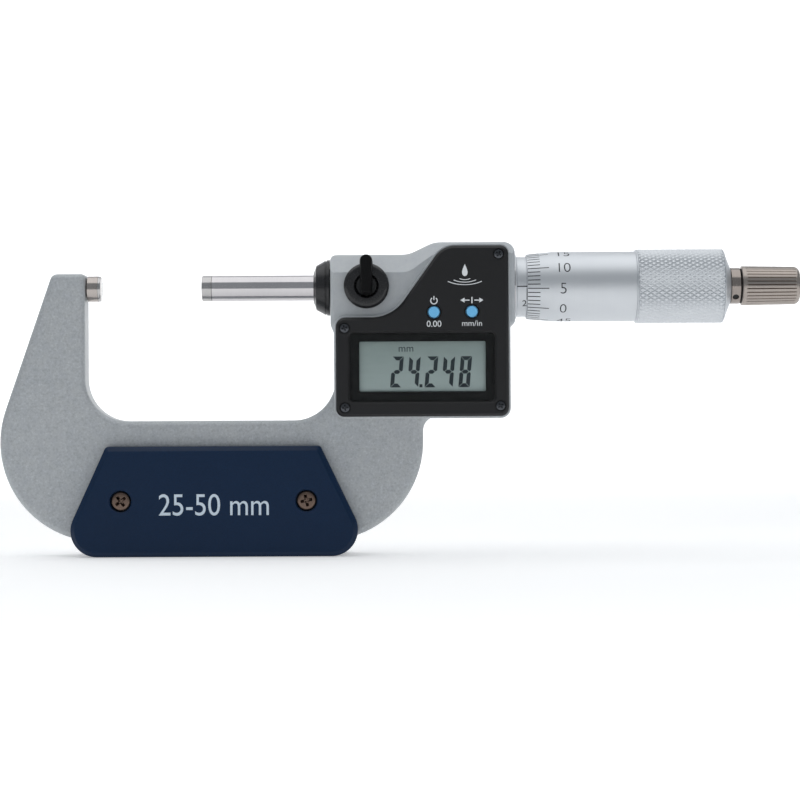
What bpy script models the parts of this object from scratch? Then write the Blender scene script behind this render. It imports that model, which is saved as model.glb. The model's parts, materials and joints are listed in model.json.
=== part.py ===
"""Outside micrometer, 25-50 mm, with a digital readout.

Units are metres, +Z is up and the front faces -Y. The origin is the centre of the
anvil's measuring face, and +X runs along the spindle towards the ratchet. All the
named dimensions below are in millimetres and are scaled by MM when a mesh is made.
"""

import math

import bmesh
import bpy

MM = 0.001

# Measuring axis
GAP = 25.055
TRAVEL = 24.945
SPINDLE_R = 3.175
THREAD_R = 3.62
NUT_BORE_R = 3.70
SPINDLE_BORE_R = 3.25
THREAD_START_X = 104.0
THREAD_END_X = 148.0
SPINDLE_END_X = 155.9
TIP_LENGTH = 2.4
ANVIL_ROOT_X = -3.45
KEY_X = (87.4, 90.0)
KEYWAY_X = (KEY_X[0] - TRAVEL - 2.0, KEY_X[1] + 0.5)

# Frame casting
WEB_HALF = 4.8
HEAD_HALF = 9.3
HOUSING_FRONT_Y = -11.4
HOUSING_BACK_Y = 8.5
FRAME_BOTTOM_Z = -62.7
THROAT_LEFT_X = -3.7
THROAT_RIGHT_X = 58.2
THROAT_BOTTOM_Z = -32.9
HEAD_LEFT_X = 57.1
HEAD_RIGHT_X = 102.7
HEAD_TOP_Z = 7.85
HEAD_HUMP_TOP_Z = 10.8
HOUSING_X = (58.4, 100.85)
HOUSING_BOTTOM_Z = -32.4
CHAMBER_R = 8.3
CHAMBER_LEFT_X = 82.0
CAVITY_FLOOR_Y = -2.4

# Bezel and display
BEZEL_FRONT_Y = -13.2
BEZEL_BACK_Y = -11.45
BEZEL_CHAMFER = 0.65
BEZEL_X = (58.5, 100.65)
BEZEL_Z = (-32.0, 9.6)
BEZEL_STEP_Z = -7.8
WINDOW_X = (61.7, 97.3)
WINDOW_Z = (-28.45, -11.5)
BOARD_Y = (-9.1, -8.3)
BUTTON_R = 1.45
BUTTON_RECESS_R = 1.9
BUTTONS = ((82.45, -6.6), (91.7, -6.5))
BEZEL_SCREWS = ((60.6, -10.4), (60.7, -29.8), (98.6, -29.5), (98.25, 7.5))

# Spindle lock
LOCK_X = 66.0
LOCK_DISC_R = 5.55
LOCK_BORE_R = 2.47

# Sleeve, thimble and ratchet stop
SLEEVE_R = 7.44
SLEEVE_BORE_R = 6.98
SLEEVE_X = (103.0, 142.0)
THIMBLE_X = 105.5
THIMBLE_BORE_R = 7.62
THIMBLE_R = 8.65
KNURL_R = 9.15
KNURL_X = (132.1, 154.2)
KNOB_FLUTES = 32
FLUTE_DEPTH = 0.22

# Grip plates
PLATE_FACE_Y = 9.0
PLATE_BACK_Y = 5.05
PLATE_BOTTOM_Z = -66.25
PLATE_TOP_Z = -39.1
PLATE_CORNER_R = 6.5
PLATE_CHAMFER = 1.2
PLATE_SCREWS = ((5.4, -52.5), (51.0, -52.5))
PLATE_SCREW_R = 2.27

# Battery compartment
CELL_CENTRE = (90.0, -20.5)
CELL_R = 5.8
CELL_Y = (1.35, 6.75)

# Facets round a full circle
FINE = 40
MEDIUM = 24
COARSE = 16

# Colour, metallic and roughness of each material
MATERIALS = {
    "frame_paint": ((0.33, 0.35, 0.35), 0.3, 0.5),
    "satin_chrome": ((0.62, 0.64, 0.66), 1.0, 0.3),
    "ground_steel": ((0.56, 0.57, 0.58), 1.0, 0.25),
    "carbide": ((0.22, 0.22, 0.24), 1.0, 0.3),
    "ratchet_steel": ((0.36, 0.31, 0.28), 1.0, 0.35),
    "black_plastic": ((0.02, 0.021, 0.024), 0.0, 0.4),
    "navy_plastic": ((0.007, 0.024, 0.07), 0.0, 0.4),
    "button_blue": ((0.14, 0.48, 0.83), 0.0, 0.35),
    "window_clear": ((0.75, 0.8, 0.8), 0.0, 0.08),
    "display_glass": ((0.2, 0.24, 0.22), 0.0, 0.15),
    "seal_rubber": ((0.015, 0.015, 0.015), 0.0, 0.8),
    "screw_nickel": ((0.42, 0.36, 0.32), 1.0, 0.35),
    "screw_black": ((0.03, 0.03, 0.03), 1.0, 0.4),
    "brass_metal": ((0.7, 0.52, 0.2), 1.0, 0.3),
    "board_green": ((0.01, 0.12, 0.05), 0.0, 0.5),
    "flex_amber": ((0.5, 0.22, 0.03), 0.0, 0.4),
    "cell_steel": ((0.6, 0.6, 0.6), 1.0, 0.2),
}


def clear_scene():
    for item in list(bpy.data.objects):
        bpy.data.objects.remove(item, do_unlink=True)


def make_material(name, kind):
    colour, metallic, roughness = MATERIALS[kind]
    made = bpy.data.materials.new(name + "_" + kind)
    made.use_nodes = True
    shader = made.node_tree.nodes["Principled BSDF"]
    shader.inputs["Base Color"].default_value = (*colour, 1.0)
    shader.inputs["Metallic"].default_value = metallic
    shader.inputs["Roughness"].default_value = roughness
    return made


def add_mesh(name, points, faces, kind, origin=(0.0, 0.0, 0.0)):
    """A mesh object from points in millimetres, with its origin where stated."""
    mesh = bpy.data.meshes.new(name)
    local = [tuple((p[i] - origin[i]) * MM for i in range(3)) for p in points]
    mesh.from_pydata(local, [], faces)
    work = bmesh.new()
    work.from_mesh(mesh)
    bmesh.ops.recalc_face_normals(work, faces=work.faces)
    work.to_mesh(mesh)
    work.free()
    made = bpy.data.objects.new(name, mesh)
    made.location = tuple(value * MM for value in origin)
    bpy.context.scene.collection.objects.link(made)
    if kind:
        mesh.materials.append(make_material(name, kind))
    else:
        made.hide_render = True
        made.display_type = "WIRE"
    return made


def smooth(made, angle=35.0):
    made.data.shade_smooth()
    made.data.set_sharp_from_angle(angle=math.radians(angle))
    return made


def boolean(target, tool, operation):
    change = target.modifiers.new(operation.lower() + "_" + tool.name, "BOOLEAN")
    change.operation = operation
    change.solver = "EXACT"
    change.object = tool
    return target


def cut(target, *tools):
    for tool in tools:
        boolean(target, tool, "DIFFERENCE")
    return target


def join(target, *tools):
    for tool in tools:
        boolean(target, tool, "UNION")
    return target


def revolve(name, profile, segments, kind, axis="X", centre=(0.0, 0.0, 0.0), origin=None):
    """Turns (along, radius) points, in order round the section, about an axis.

    A third number on a point is how far every second facet edge dips inwards.
    """
    points = []
    rings = []
    for entry in profile:
        along, radius = entry[0], entry[1]
        dip = entry[2] if len(entry) > 2 else 0.0
        ring = []
        turns = 1 if radius == 0.0 else segments
        for index in range(turns):
            angle = 2.0 * math.pi * index / segments
            reach = radius - (dip if index % 2 else 0.0)
            across = reach * math.cos(angle)
            up = reach * math.sin(angle)
            ring.append(len(points))
            if axis == "X":
                points.append((centre[0] + along, centre[1] + across, centre[2] + up))
            else:
                points.append((centre[0] + across, centre[1] + along, centre[2] + up))
        rings.append(ring)
    faces = []
    for index, ring in enumerate(rings):
        other = rings[(index + 1) % len(rings)]
        if len(ring) == 1 and len(other) == 1:
            continue
        for step in range(segments):
            after = (step + 1) % segments
            if len(ring) == 1:
                faces.append((ring[0], other[step], other[after]))
            elif len(other) == 1:
                faces.append((ring[step], other[0], ring[after]))
            else:
                faces.append((ring[step], other[step], other[after], ring[after]))
    made = add_mesh(name, points, faces, kind, origin or centre)
    return smooth(made) if kind else made


def rod(name, start, end, radius, segments, kind, axis="X", centre=(0.0, 0.0, 0.0), origin=None):
    profile = [(start, 0.0), (start, radius), (end, radius), (end, 0.0)]
    return revolve(name, profile, segments, kind, axis, centre, origin)


def stepped(name, steps, segments, x, z):
    """A cutter along Y through (y, radius) steps, each radius running on to the next y."""
    profile = [(steps[0][0], 0.0)]
    for (start, radius), (end, _) in zip(steps, steps[1:]):
        profile += [(start, radius), (end, radius)]
    profile.append((steps[-1][0], 0.0))
    return revolve(name, profile, segments, None, "Y", (x, 0.0, z))


def tube(name, start, end, inner, outer, segments, kind, axis="X", centre=(0.0, 0.0, 0.0), chamfer=0.0):
    profile = [(start, inner), (start, outer - chamfer)]
    if chamfer:
        profile += [(start + chamfer, outer), (end - chamfer, outer)]
    profile += [(end, outer - chamfer), (end, inner)]
    return revolve(name, profile, segments, kind, axis, centre)


def outline(corners, offset=0.0):
    """Corners (x, z, radius), anticlockwise, as points; offset moves every edge outwards."""
    points = []
    count = len(corners)
    for index, (x, z, radius) in enumerate(corners):
        before = corners[index - 1]
        after = corners[(index + 1) % count]
        length = math.hypot(x - before[0], z - before[1])
        ux, uz = (x - before[0]) / length, (z - before[1]) / length
        length = math.hypot(after[0] - x, after[1] - z)
        vx, vz = (after[0] - x) / length, (after[1] - z) / length
        turn = math.atan2(ux * vz - uz * vx, ux * vx + uz * vz)
        scale = offset / (1.0 + ux * vx + uz * vz)
        px = x + scale * (uz + vz)
        pz = z - scale * (ux + vx)
        if radius == 0.0:
            points.append((px, pz))
            continue
        side = 1.0 if turn > 0.0 else -1.0
        bend = max(radius + side * offset, 0.05)
        back = bend * math.tan(abs(turn) / 2.0)
        cx = px - ux * back - side * uz * bend
        cz = pz - uz * back + side * ux * bend
        start = math.atan2(-side * ux, side * uz)
        facet = 8.0 if radius > 6.0 else 24.0
        steps = max(2, round(abs(math.degrees(turn)) / facet))
        for step in range(steps + 1):
            angle = start + turn * step / steps
            points.append((cx + bend * math.cos(angle), cz + bend * math.sin(angle)))
    return points


def loft(name, rings, kind, origin=(0.0, 0.0, 0.0), axis="Y"):
    """A closed solid through rings (along, points) that all have the same number of points."""
    count = len(rings[0][1])
    points = []
    for along, ring in rings:
        for first, second in ring:
            if axis == "Y":
                points.append((first, along, second))
            else:
                points.append((along, first, second))
    faces = [tuple(range(count))]
    for level in range(len(rings) - 1):
        low = level * count
        for step in range(count):
            after = (step + 1) % count
            faces.append((low + step, low + after, low + count + after, low + count + step))
    last = (len(rings) - 1) * count
    faces.append(tuple(range(last + count - 1, last - 1, -1)))
    return add_mesh(name, points, faces, kind, origin)


def plate(name, corners, low, high, kind, front=0.0, back=0.0, steps=1, origin=(0.0, 0.0, 0.0)):
    """A flat piece between two Y levels, its front and back edges rounded by the sizes given."""
    rings = []
    if front:
        for step in range(steps + 1):
            angle = math.pi / 2.0 * step / steps
            inset = front * (1.0 - math.sin(angle))
            rings.append((low + front * (1.0 - math.cos(angle)), outline(corners, -inset)))
    else:
        rings.append((low, outline(corners)))
    if back:
        for step in range(steps, -1, -1):
            angle = math.pi / 2.0 * step / steps
            inset = back * (1.0 - math.sin(angle))
            rings.append((high - back * (1.0 - math.cos(angle)), outline(corners, -inset)))
    else:
        rings.append((high, outline(corners)))
    return loft(name, rings, kind, origin)


def box(name, x, y, z, kind, origin=(0.0, 0.0, 0.0)):
    corners = [(x[0], z[0]), (x[1], z[0]), (x[1], z[1]), (x[0], z[1])]
    return loft(name, [(y[0], corners), (y[1], corners)], kind, origin)


def rectangle(x, z, radius):
    return [(x[0], z[0], radius), (x[1], z[0], radius), (x[1], z[1], radius), (x[0], z[1], radius)]


def coil(name, start, end, radius, wire, turns, kind):
    """A helical spring about the spindle axis with a five-sided wire section."""
    steps = turns * 12
    sides = 5
    points = []
    for step in range(steps + 1):
        angle = 2.0 * math.pi * step / 12.0
        middle = start + (end - start) * step / steps
        for side in range(sides):
            turn = 2.0 * math.pi * side / sides
            reach = radius + wire * math.cos(turn)
            points.append((middle + wire * math.sin(turn), reach * math.cos(angle), reach * math.sin(angle)))
    faces = [tuple(range(sides))]
    for step in range(steps):
        low = step * sides
        for side in range(sides):
            after = (side + 1) % sides
            faces.append((low + side, low + after, low + sides + after, low + sides + side))
    last = steps * sides
    faces.append(tuple(range(last + sides - 1, last - 1, -1)))
    return smooth(add_mesh(name, points, faces, kind))


def cross_recess(name, x, z, front, back, arm, width):
    """A four-armed driver recess for a screw whose axis is along Y."""
    half = width / 2.0
    ring = [
        (x - arm, z - half), (x - half, z - half), (x - half, z - arm), (x + half, z - arm),
        (x + half, z - half), (x + arm, z - half), (x + arm, z + half), (x + half, z + half),
        (x + half, z + arm), (x - half, z + arm), (x - half, z + half), (x - arm, z + half),
    ]
    return loft(name, [(front, ring), (back, ring)], None)


def bezel_corners():
    return [
        (BEZEL_X[0], BEZEL_Z[0], 2.0), (BEZEL_X[1], BEZEL_Z[0], 2.0), (BEZEL_X[1], BEZEL_Z[1], 2.0),
        (84.62, BEZEL_Z[1], 5.8), (72.2, BEZEL_STEP_Z, 9.7), (BEZEL_X[0], BEZEL_STEP_Z, 2.3),
    ]


def cavity_corners(grow):
    """The electronics cavity's stepped outline, which reaches up behind the buttons."""
    low, high, left, right = -30.4 - grow, -4.2 + grow, 62.7 - grow, 96.5 + grow
    step_x, step_z = 77.0 - grow, -10.0 + grow
    return [
        (left, low, 0.0), (right, low, 0.0), (right, high, 0.0),
        (step_x, high, 0.0), (step_x, step_z, 0.0), (left, step_z, 0.0),
    ]


def frame_blanks():
    """The casting before machining: web, head, housing rim and housing."""
    web = [
        (THROAT_LEFT_X, 3.6, 1.0), (-11.85, 3.6, 1.8), (-34.85, FRAME_BOTTOM_Z, 24.6),
        (79.8, FRAME_BOTTOM_Z, 24.6), (79.8, -32.4, 3.3), (86.0, -32.0, 0.0), (86.0, -24.0, 0.0),
        (THROAT_RIGHT_X + 2.0, -18.0, 0.0), (THROAT_RIGHT_X, -18.0, 0.0),
        (THROAT_RIGHT_X, THROAT_BOTTOM_Z, 10.5), (THROAT_LEFT_X, THROAT_BOTTOM_Z, 10.5),
    ]
    head = [
        (HEAD_LEFT_X, HEAD_TOP_Z, 2.6), (HEAD_LEFT_X, -9.5, 2.0), (58.3, -12.5, 2.0), (58.3, -16.0, 0.0),
        (HOUSING_X[1] - 0.05, -16.0, 0.0), (HOUSING_X[1] - 0.05, -10.8, 0.6), (HEAD_RIGHT_X, -9.0, 1.2),
        (HEAD_RIGHT_X, HEAD_HUMP_TOP_Z, 2.5), (82.6, HEAD_HUMP_TOP_Z, 6.0), (76.3, HEAD_TOP_Z, 6.0),
    ]
    (left, right), low, high = HOUSING_X, HOUSING_BOTTOM_Z, -6.0
    housing = [(left, low, 2.5), (right, low, 3.5), (right, high, 0.0), (left, high, 0.0)]
    body = plate("frame", web, -WEB_HALF, WEB_HALF, "frame_paint", 1.5, 1.5, 2)
    top = plate("head_blank", head, -HEAD_HALF, HEAD_HALF, None, 1.6, 2.4, 2)
    rim = [(HOUSING_FRONT_Y, outline(bezel_corners(), 0.25)), (-11.1, outline(bezel_corners(), 0.5)),
           (-4.0, outline(bezel_corners(), 0.5))]
    lip = loft("housing_rim_blank", rim, None)
    room = plate("housing_blank", housing, -9.0, HOUSING_BACK_Y, None, 0.0, 2.2, 2)
    return join(body, top, room, lip)


def frame_cuts():
    """Every bore, pocket and tapped hole machined into the casting."""
    cell = [(CAVITY_FLOOR_Y - 0.5, 1.5), (0.6, 6.55), (6.95, 7.55), (9.5, 0.0)]
    pocket = [(HOUSING_FRONT_Y - 1.0, outline(cavity_corners(0.8))), (-10.8, outline(cavity_corners(0.8)))]
    room = [(HOUSING_FRONT_Y - 1.0, outline(cavity_corners(0.0))), (-8.0, outline(cavity_corners(0.0)))]
    cuts = [
        rod("rotor_chamber_cut", CHAMBER_LEFT_X, HEAD_RIGHT_X + 1.0, CHAMBER_R, FINE, None),
        rod("spindle_bore_cut", 55.0, CHAMBER_LEFT_X + 0.5, SPINDLE_BORE_R, FINE, None),
        rod("anvil_bore_cut", -12.2, -3.0, 2.1, MEDIUM, None),
        rod("lock_bore_cut", -11.0, -1.0, LOCK_BORE_R, FINE, None, "Y", (LOCK_X, 0.0, 0.0)),
        loft("gasket_ledge_cut", pocket, None),
        loft("cavity_cut", room, None),
        box("deep_cavity_cut", (64.0, 95.5), (-8.5, CAVITY_FLOOR_Y), (-30.0, -11.0), None),
        box("flex_slot_cut", (82.3, 86.3), (-5.2, -3.4), (-12.0, -6.0), None),
        stepped("battery_cut", cell, FINE, CELL_CENTRE[0], CELL_CENTRE[1]),
    ]
    for index, (x, z) in enumerate(PLATE_SCREWS):
        cuts.append(rod(f"plate_screw_cut_{index}", -6.0, 6.0, 1.15, COARSE, None, "Y", (x, 0.0, z)))
    for index, (x, z) in enumerate(BEZEL_SCREWS):
        cuts.append(rod(f"bezel_screw_cut_{index}", -12.0, -8.6, 0.78, COARSE, None, "Y", (x, 0.0, z)))
    return cuts


def build_frame():
    smooth(cut(frame_blanks(), *frame_cuts()), 28.0)


def build_anvil():
    profile = [
        (-12.0, 0.0), (-12.0, 1.8), (-11.8, 2.0), (ANVIL_ROOT_X, 2.0),
        (ANVIL_ROOT_X, SPINDLE_R), (-1.25, SPINDLE_R), (-1.25, 0.0),
    ]
    revolve("anvil", profile, FINE, "ground_steel")
    tip = [(-1.2, 0.0), (-1.2, SPINDLE_R), (-0.2, SPINDLE_R), (0.0, SPINDLE_R - 0.2), (0.0, 0.0)]
    revolve("anvil_carbide_tip", tip, FINE, "carbide")


def build_spindle():
    profile = [
        (GAP + TIP_LENGTH + 0.05, 0.0), (GAP + TIP_LENGTH + 0.05, SPINDLE_R),
        (THREAD_START_X, SPINDLE_R), (THREAD_START_X + 0.5, THREAD_R), (THREAD_END_X - 0.4, THREAD_R),
        (THREAD_END_X, 3.0), (SPINDLE_END_X, 3.0), (SPINDLE_END_X, 1.75), (146.5, 1.75), (146.5, 0.0),
    ]
    body = revolve("spindle", profile, FINE, "ground_steel", origin=(GAP, 0.0, 0.0))
    cut(body, box("keyway_cut", KEYWAY_X, (-0.55, 0.55), (2.55, 4.0), None))
    tip = [
        (GAP, 0.0), (GAP, SPINDLE_R - 0.2), (GAP + 0.2, SPINDLE_R),
        (GAP + TIP_LENGTH, SPINDLE_R), (GAP + TIP_LENGTH, 0.0),
    ]
    revolve("spindle_carbide_tip", tip, FINE, "carbide", origin=(GAP, 0.0, 0.0))


def build_nose():
    profile = [
        (54.4, 3.35), (52.8, 3.35), (52.85, 4.0), (53.1, 4.8), (53.5, 5.36), (56.15, 6.93),
        (56.82, 6.93), (56.82, 4.75), (54.4, 4.75),
    ]
    revolve("nose_cap", profile, FINE, "black_plastic")
    seal = [(54.6, 3.6), (54.6, 4.65), (56.5, 4.65), (56.5, 3.6), (56.0, 3.6), (55.55, 3.24), (55.1, 3.6)]
    revolve("wiper_seal", seal, FINE, "seal_rubber")


def build_lock():
    centre = (LOCK_X, 0.0, 0.0)
    origin = (LOCK_X, -9.5, 0.0)
    profile = [
        (-5.8, 0.0), (-5.8, 2.3), (-9.5, 2.3), (-9.5, LOCK_DISC_R - 0.2), (-9.7, LOCK_DISC_R),
        (-11.6, LOCK_DISC_R), (-12.1, LOCK_DISC_R - 0.5), (-12.1, 0.0),
    ]
    lever = revolve("lock_lever", profile, MEDIUM, "black_plastic", "Y", centre, origin)
    half = 1.5
    fin = [
        (LOCK_X - half * 0.8, -2.1, 0.6), (LOCK_X + half * 0.8, -2.1, 0.6),
        (LOCK_X + half, 7.5, 1.3), (LOCK_X - half, 7.5, 1.3),
    ]
    join(lever, plate("fin_blank", fin, -16.0, -10.6, None, 0.6, 0.0, 2))
    rod("lock_pad", -5.55, -3.34, 2.25, MEDIUM, "brass_metal", "Y", centre, (LOCK_X, -5.55, 0.0))


def build_sleeve():
    profile = [
        (97.2, NUT_BORE_R), (97.2, 8.15), (102.6, 8.15), (102.6, 6.88), (142.2, 6.88),
        (142.2, 5.9), (146.4, 5.9), (146.4, NUT_BORE_R),
    ]
    revolve("inner_sleeve", profile, FINE, "ground_steel")
    tube("adjusting_nut", 142.45, 145.9, 6.0, 7.3, MEDIUM, "ground_steel", chamfer=0.2)
    tube("graduated_sleeve", SLEEVE_X[0], SLEEVE_X[1], SLEEVE_BORE_R, SLEEVE_R, FINE, "satin_chrome", chamfer=0.15)


def build_thimble():
    profile = [
        (THIMBLE_X, THIMBLE_BORE_R), (THIMBLE_X, 7.96), (THIMBLE_X + 0.12, 8.02), (111.9, THIMBLE_R),
        (KNURL_X[0] - 0.2, THIMBLE_R), (KNURL_X[0] + 0.2, KNURL_R), (KNURL_X[1], KNURL_R),
        (154.35, 9.0), (154.8, 7.9), (156.1, 4.45), (156.1, 3.15), (150.6, 3.15), (150.6, THIMBLE_BORE_R),
    ]
    revolve("thimble", profile, FINE, "satin_chrome", origin=(THIMBLE_X, 0.0, 0.0))


def build_ratchet():
    neck = [
        (147.2, 0.0), (147.2, 1.6), (156.25, 1.6), (156.25, 4.3), (156.4, 4.48), (158.95, 4.48),
        (159.1, 4.35), (159.1, 1.95), (170.2, 1.95), (170.2, 0.9), (165.0, 0.9), (165.0, 0.0),
    ]
    body = revolve("ratchet_neck", neck, MEDIUM, "ratchet_steel", origin=(157.7, 0.0, 0.0))
    hole = rod("spanner_hole_cut", -6.0, -2.6, 0.785, COARSE, None, "Y", (157.7, 0.0, 0.0))
    hole.rotation_euler = (math.radians(36.0), 0.0, 0.0)
    cut(body, hole)
    knob = [
        (159.75, 3.05), (159.75, 4.87), (160.5, 4.87), (160.8, 4.84, FLUTE_DEPTH),
        (172.4, 4.66, FLUTE_DEPTH), (172.75, 4.5), (173.4, 3.4), (173.4, 2.45),
        (172.3, 2.45), (172.3, 1.4), (170.6, 1.4), (170.6, 3.05),
    ]
    revolve("ratchet_knob", knob, 2 * KNOB_FLUTES, "ratchet_steel", origin=(159.75, 0.0, 0.0))
    ring = [(159.95, 2.08), (159.95, 2.95, 0.25), (161.8, 2.95, 0.25), (161.8, 2.08)]
    revolve("ratchet_click_ring", ring, 24, "ground_steel")
    coil("ratchet_spring", 162.3, 170.1, 2.5, 0.25, 5, "ground_steel")
    screw = [
        (165.4, 0.0), (165.4, 0.75), (170.3, 0.75), (170.3, 1.2), (172.45, 1.2), (172.45, 2.1),
        (172.6, 2.25), (173.0, 2.25), (173.2, 2.0), (173.2, 0.0),
    ]
    end = revolve("ratchet_end_screw", screw, COARSE, "screw_black", origin=(173.0, 0.0, 0.0))
    cut(end, box("end_slot_cut", (172.8, 174.0), (-3.0, 3.0), (-0.25, 0.25), None))


def build_encoder():
    tube("encoder_stator", 82.5, 84.1, 4.4, 8.12, FINE, "board_green")
    tube("rotor_disc", 84.6, 85.9, 4.3, 7.9, FINE, "display_glass")
    bush = [(84.4, 3.3), (84.4, 4.2), (86.15, 4.2), (86.15, 5.2), (91.2, 5.2), (91.2, 3.3)]
    holder = revolve("rotor_bush", bush, FINE, "brass_metal")
    cut(holder, box("key_seat_cut", (KEY_X[0] - 0.2, KEY_X[1] + 0.2), (-0.6, 0.6), (2.9, 6.0), None))
    box("rotor_key", KEY_X, (-0.45, 0.45), (2.75, 4.95), "ground_steel")
    coil("rotor_spring", 91.65, 96.8, 4.7, 0.3, 3, "ground_steel")
    strip = [
        (-4.45, -12.6), (-8.15, -12.6), (-8.15, -12.85), (-4.2, -12.85), (-4.2, -7.25), (-4.45, -7.25),
    ]
    loft("flex_cable", [(82.6, strip), (85.9, strip)], "flex_amber", axis="X")


def build_electronics():
    shape = [
        (63.1, -30.0, 0.0), (96.1, -30.0, 0.0), (96.1, -4.6, 0.0),
        (77.4, -4.6, 0.0), (77.4, -10.4, 0.0), (63.1, -10.4, 0.0),
    ]
    board = plate("main_board", shape, BOARD_Y[0], BOARD_Y[1], "board_green")
    join(board, box("chip_blank", (68.0, 76.0), (-8.6, -7.3), (-25.0, -17.0), None))
    cut(board, rod("board_hole_cut", -10.0, -8.0, 1.2, COARSE, None, "Y", (66.0, 0.0, -27.5)))
    box("lcd_glass", (64.0, 95.2), (-11.05, -9.95), (-26.7, -12.9), "display_glass")
    holder = box("lcd_holder", (63.0, 96.2), (-11.25, -9.35), (-29.9, -10.45), "black_plastic")
    cut(holder, box("holder_cut", (63.8, 95.4), (-12.0, -9.0), (-26.9, -12.7), None))
    box("zebra_connector", (66.0, 93.0), (-9.85, -9.2), (-25.6, -24.0), "seal_rubber")
    for name, (x, z) in zip(("dome_switch_power", "dome_switch_mode"), BUTTONS):
        profile = [(-9.2, 0.0), (-9.2, 1.7), (-9.5, 1.6), (-9.9, 0.8), (-9.9, 0.0)]
        revolve(name, profile, COARSE, "cell_steel", "Y", (x, 0.0, z))


def build_bezel():
    shape = bezel_corners()
    body = plate("bezel", shape, BEZEL_FRONT_Y, BEZEL_BACK_Y, "black_plastic", BEZEL_CHAMFER, 0.0, 1)
    recess = rectangle(WINDOW_X, WINDOW_Z, 1.2)
    cut(body, plate("window_recess_cut", recess, -14.0, -11.85, None))
    cut(body, box("window_cut", (63.2, 95.8), (-12.5, -10.5), (-27.4, -12.4), None))
    for index, (x, z) in enumerate(BUTTONS):
        steps = [(-14.0, BUTTON_RECESS_R), (-12.6, 1.6), (-10.5, 0.0)]
        cut(body, stepped(f"button_cut_{index}", steps, MEDIUM, x, z))
    for index, (x, z) in enumerate(BEZEL_SCREWS):
        steps = [(-14.0, 1.3), (-12.4, 0.8), (-10.5, 0.0)]
        cut(body, stepped(f"screw_cut_{index}", steps, COARSE, x, z))
    pane = rectangle((61.9, 97.1), (-28.25, -11.7), 1.0)
    plate("display_window", pane, -12.25, -11.95, "window_clear")
    seal = [(-11.35, outline(cavity_corners(0.7))), (-10.88, outline(cavity_corners(0.7)))]
    gasket = loft("bezel_gasket", seal, "seal_rubber")
    inner = [(-12.0, outline(cavity_corners(0.05))), (-10.0, outline(cavity_corners(0.05)))]
    cut(gasket, loft("gasket_cut", inner, None))
    for name, (x, z) in zip(("power_set_button", "mode_units_button"), BUTTONS):
        profile = [
            (-10.5, 0.0), (-10.5, 1.95), (-11.2, 1.95), (-11.2, BUTTON_R), (-12.85, BUTTON_R),
            (-13.05, BUTTON_R - 0.2), (-13.05, 0.0),
        ]
        revolve(name, profile, MEDIUM, "button_blue", "Y", (x, 0.0, z), (x, -13.05, z))


def build_bezel_screws():
    for index, (x, z) in enumerate(BEZEL_SCREWS):
        profile = [
            (-9.0, 0.0), (-9.0, 0.65), (-12.45, 0.65), (-12.45, 1.15), (-12.95, 1.15), (-13.1, 0.95), (-13.1, 0.0),
        ]
        made = revolve(f"bezel_screw_{index + 1}", profile, COARSE, "screw_black", "Y", (x, 0.0, z))
        cut(made, cross_recess(f"bezel_recess_{index + 1}", x, z, -14.0, -12.7, 0.7, 0.3))


def plate_corners():
    return [
        (1.7, PLATE_TOP_Z, 1.0), (-10.7, PLATE_BOTTOM_Z, PLATE_CORNER_R),
        (67.4, PLATE_BOTTOM_Z, PLATE_CORNER_R), (54.4, PLATE_TOP_Z, 1.0),
    ]


def build_grip_plate(name, side):
    """One grip plate; side is -1 for the front and +1 for the back."""
    shape = plate_corners()
    rings = [
        (side * PLATE_FACE_Y, outline(shape, -PLATE_CHAMFER)),
        (side * (PLATE_FACE_Y - PLATE_CHAMFER), outline(shape)),
        (side * PLATE_BACK_Y, outline(shape)),
    ]
    body = loft(name, rings, "navy_plastic")
    foot = [
        (-2.9, -63.05, 0.0), (-2.7, -64.9, 0.0), (1.2, PLATE_BOTTOM_Z, 3.0),
        (56.6, PLATE_BOTTOM_Z, 3.0), (60.0, -64.9, 0.0), (59.6, -63.05, 0.0),
    ]
    ring = outline(foot)
    join(body, loft(name + "_foot_blank", [(side * 0.15, ring), (side * 6.0, ring)], None))
    for index, (x, z) in enumerate(PLATE_SCREWS):
        steps = [(side * 10.0, 2.65), (side * 6.6, 1.25), (side * 4.0, 0.0)]
        cut(body, stepped(f"{name}_hole_{index}", steps, MEDIUM, x, z))


def build_grip_screws():
    for label, side in (("front", -1.0), ("rear", 1.0)):
        for index, (x, z) in enumerate(PLATE_SCREWS):
            profile = [
                (side * 1.2, 0.0), (side * 1.2, 1.0), (side * 6.7, 1.0), (side * 6.7, PLATE_SCREW_R),
                (side * 7.7, PLATE_SCREW_R), (side * 8.2, PLATE_SCREW_R - 0.6), (side * 8.2, 0.0),
            ]
            name = f"grip_screw_{label}_{index + 1}"
            made = revolve(name, profile, COARSE, "screw_nickel", "Y", (x, 0.0, z))
            ends = sorted((side * 7.2, side * 9.0))
            cut(made, cross_recess(name + "_recess", x, z, ends[0], ends[1], 1.25, 0.55))


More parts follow.
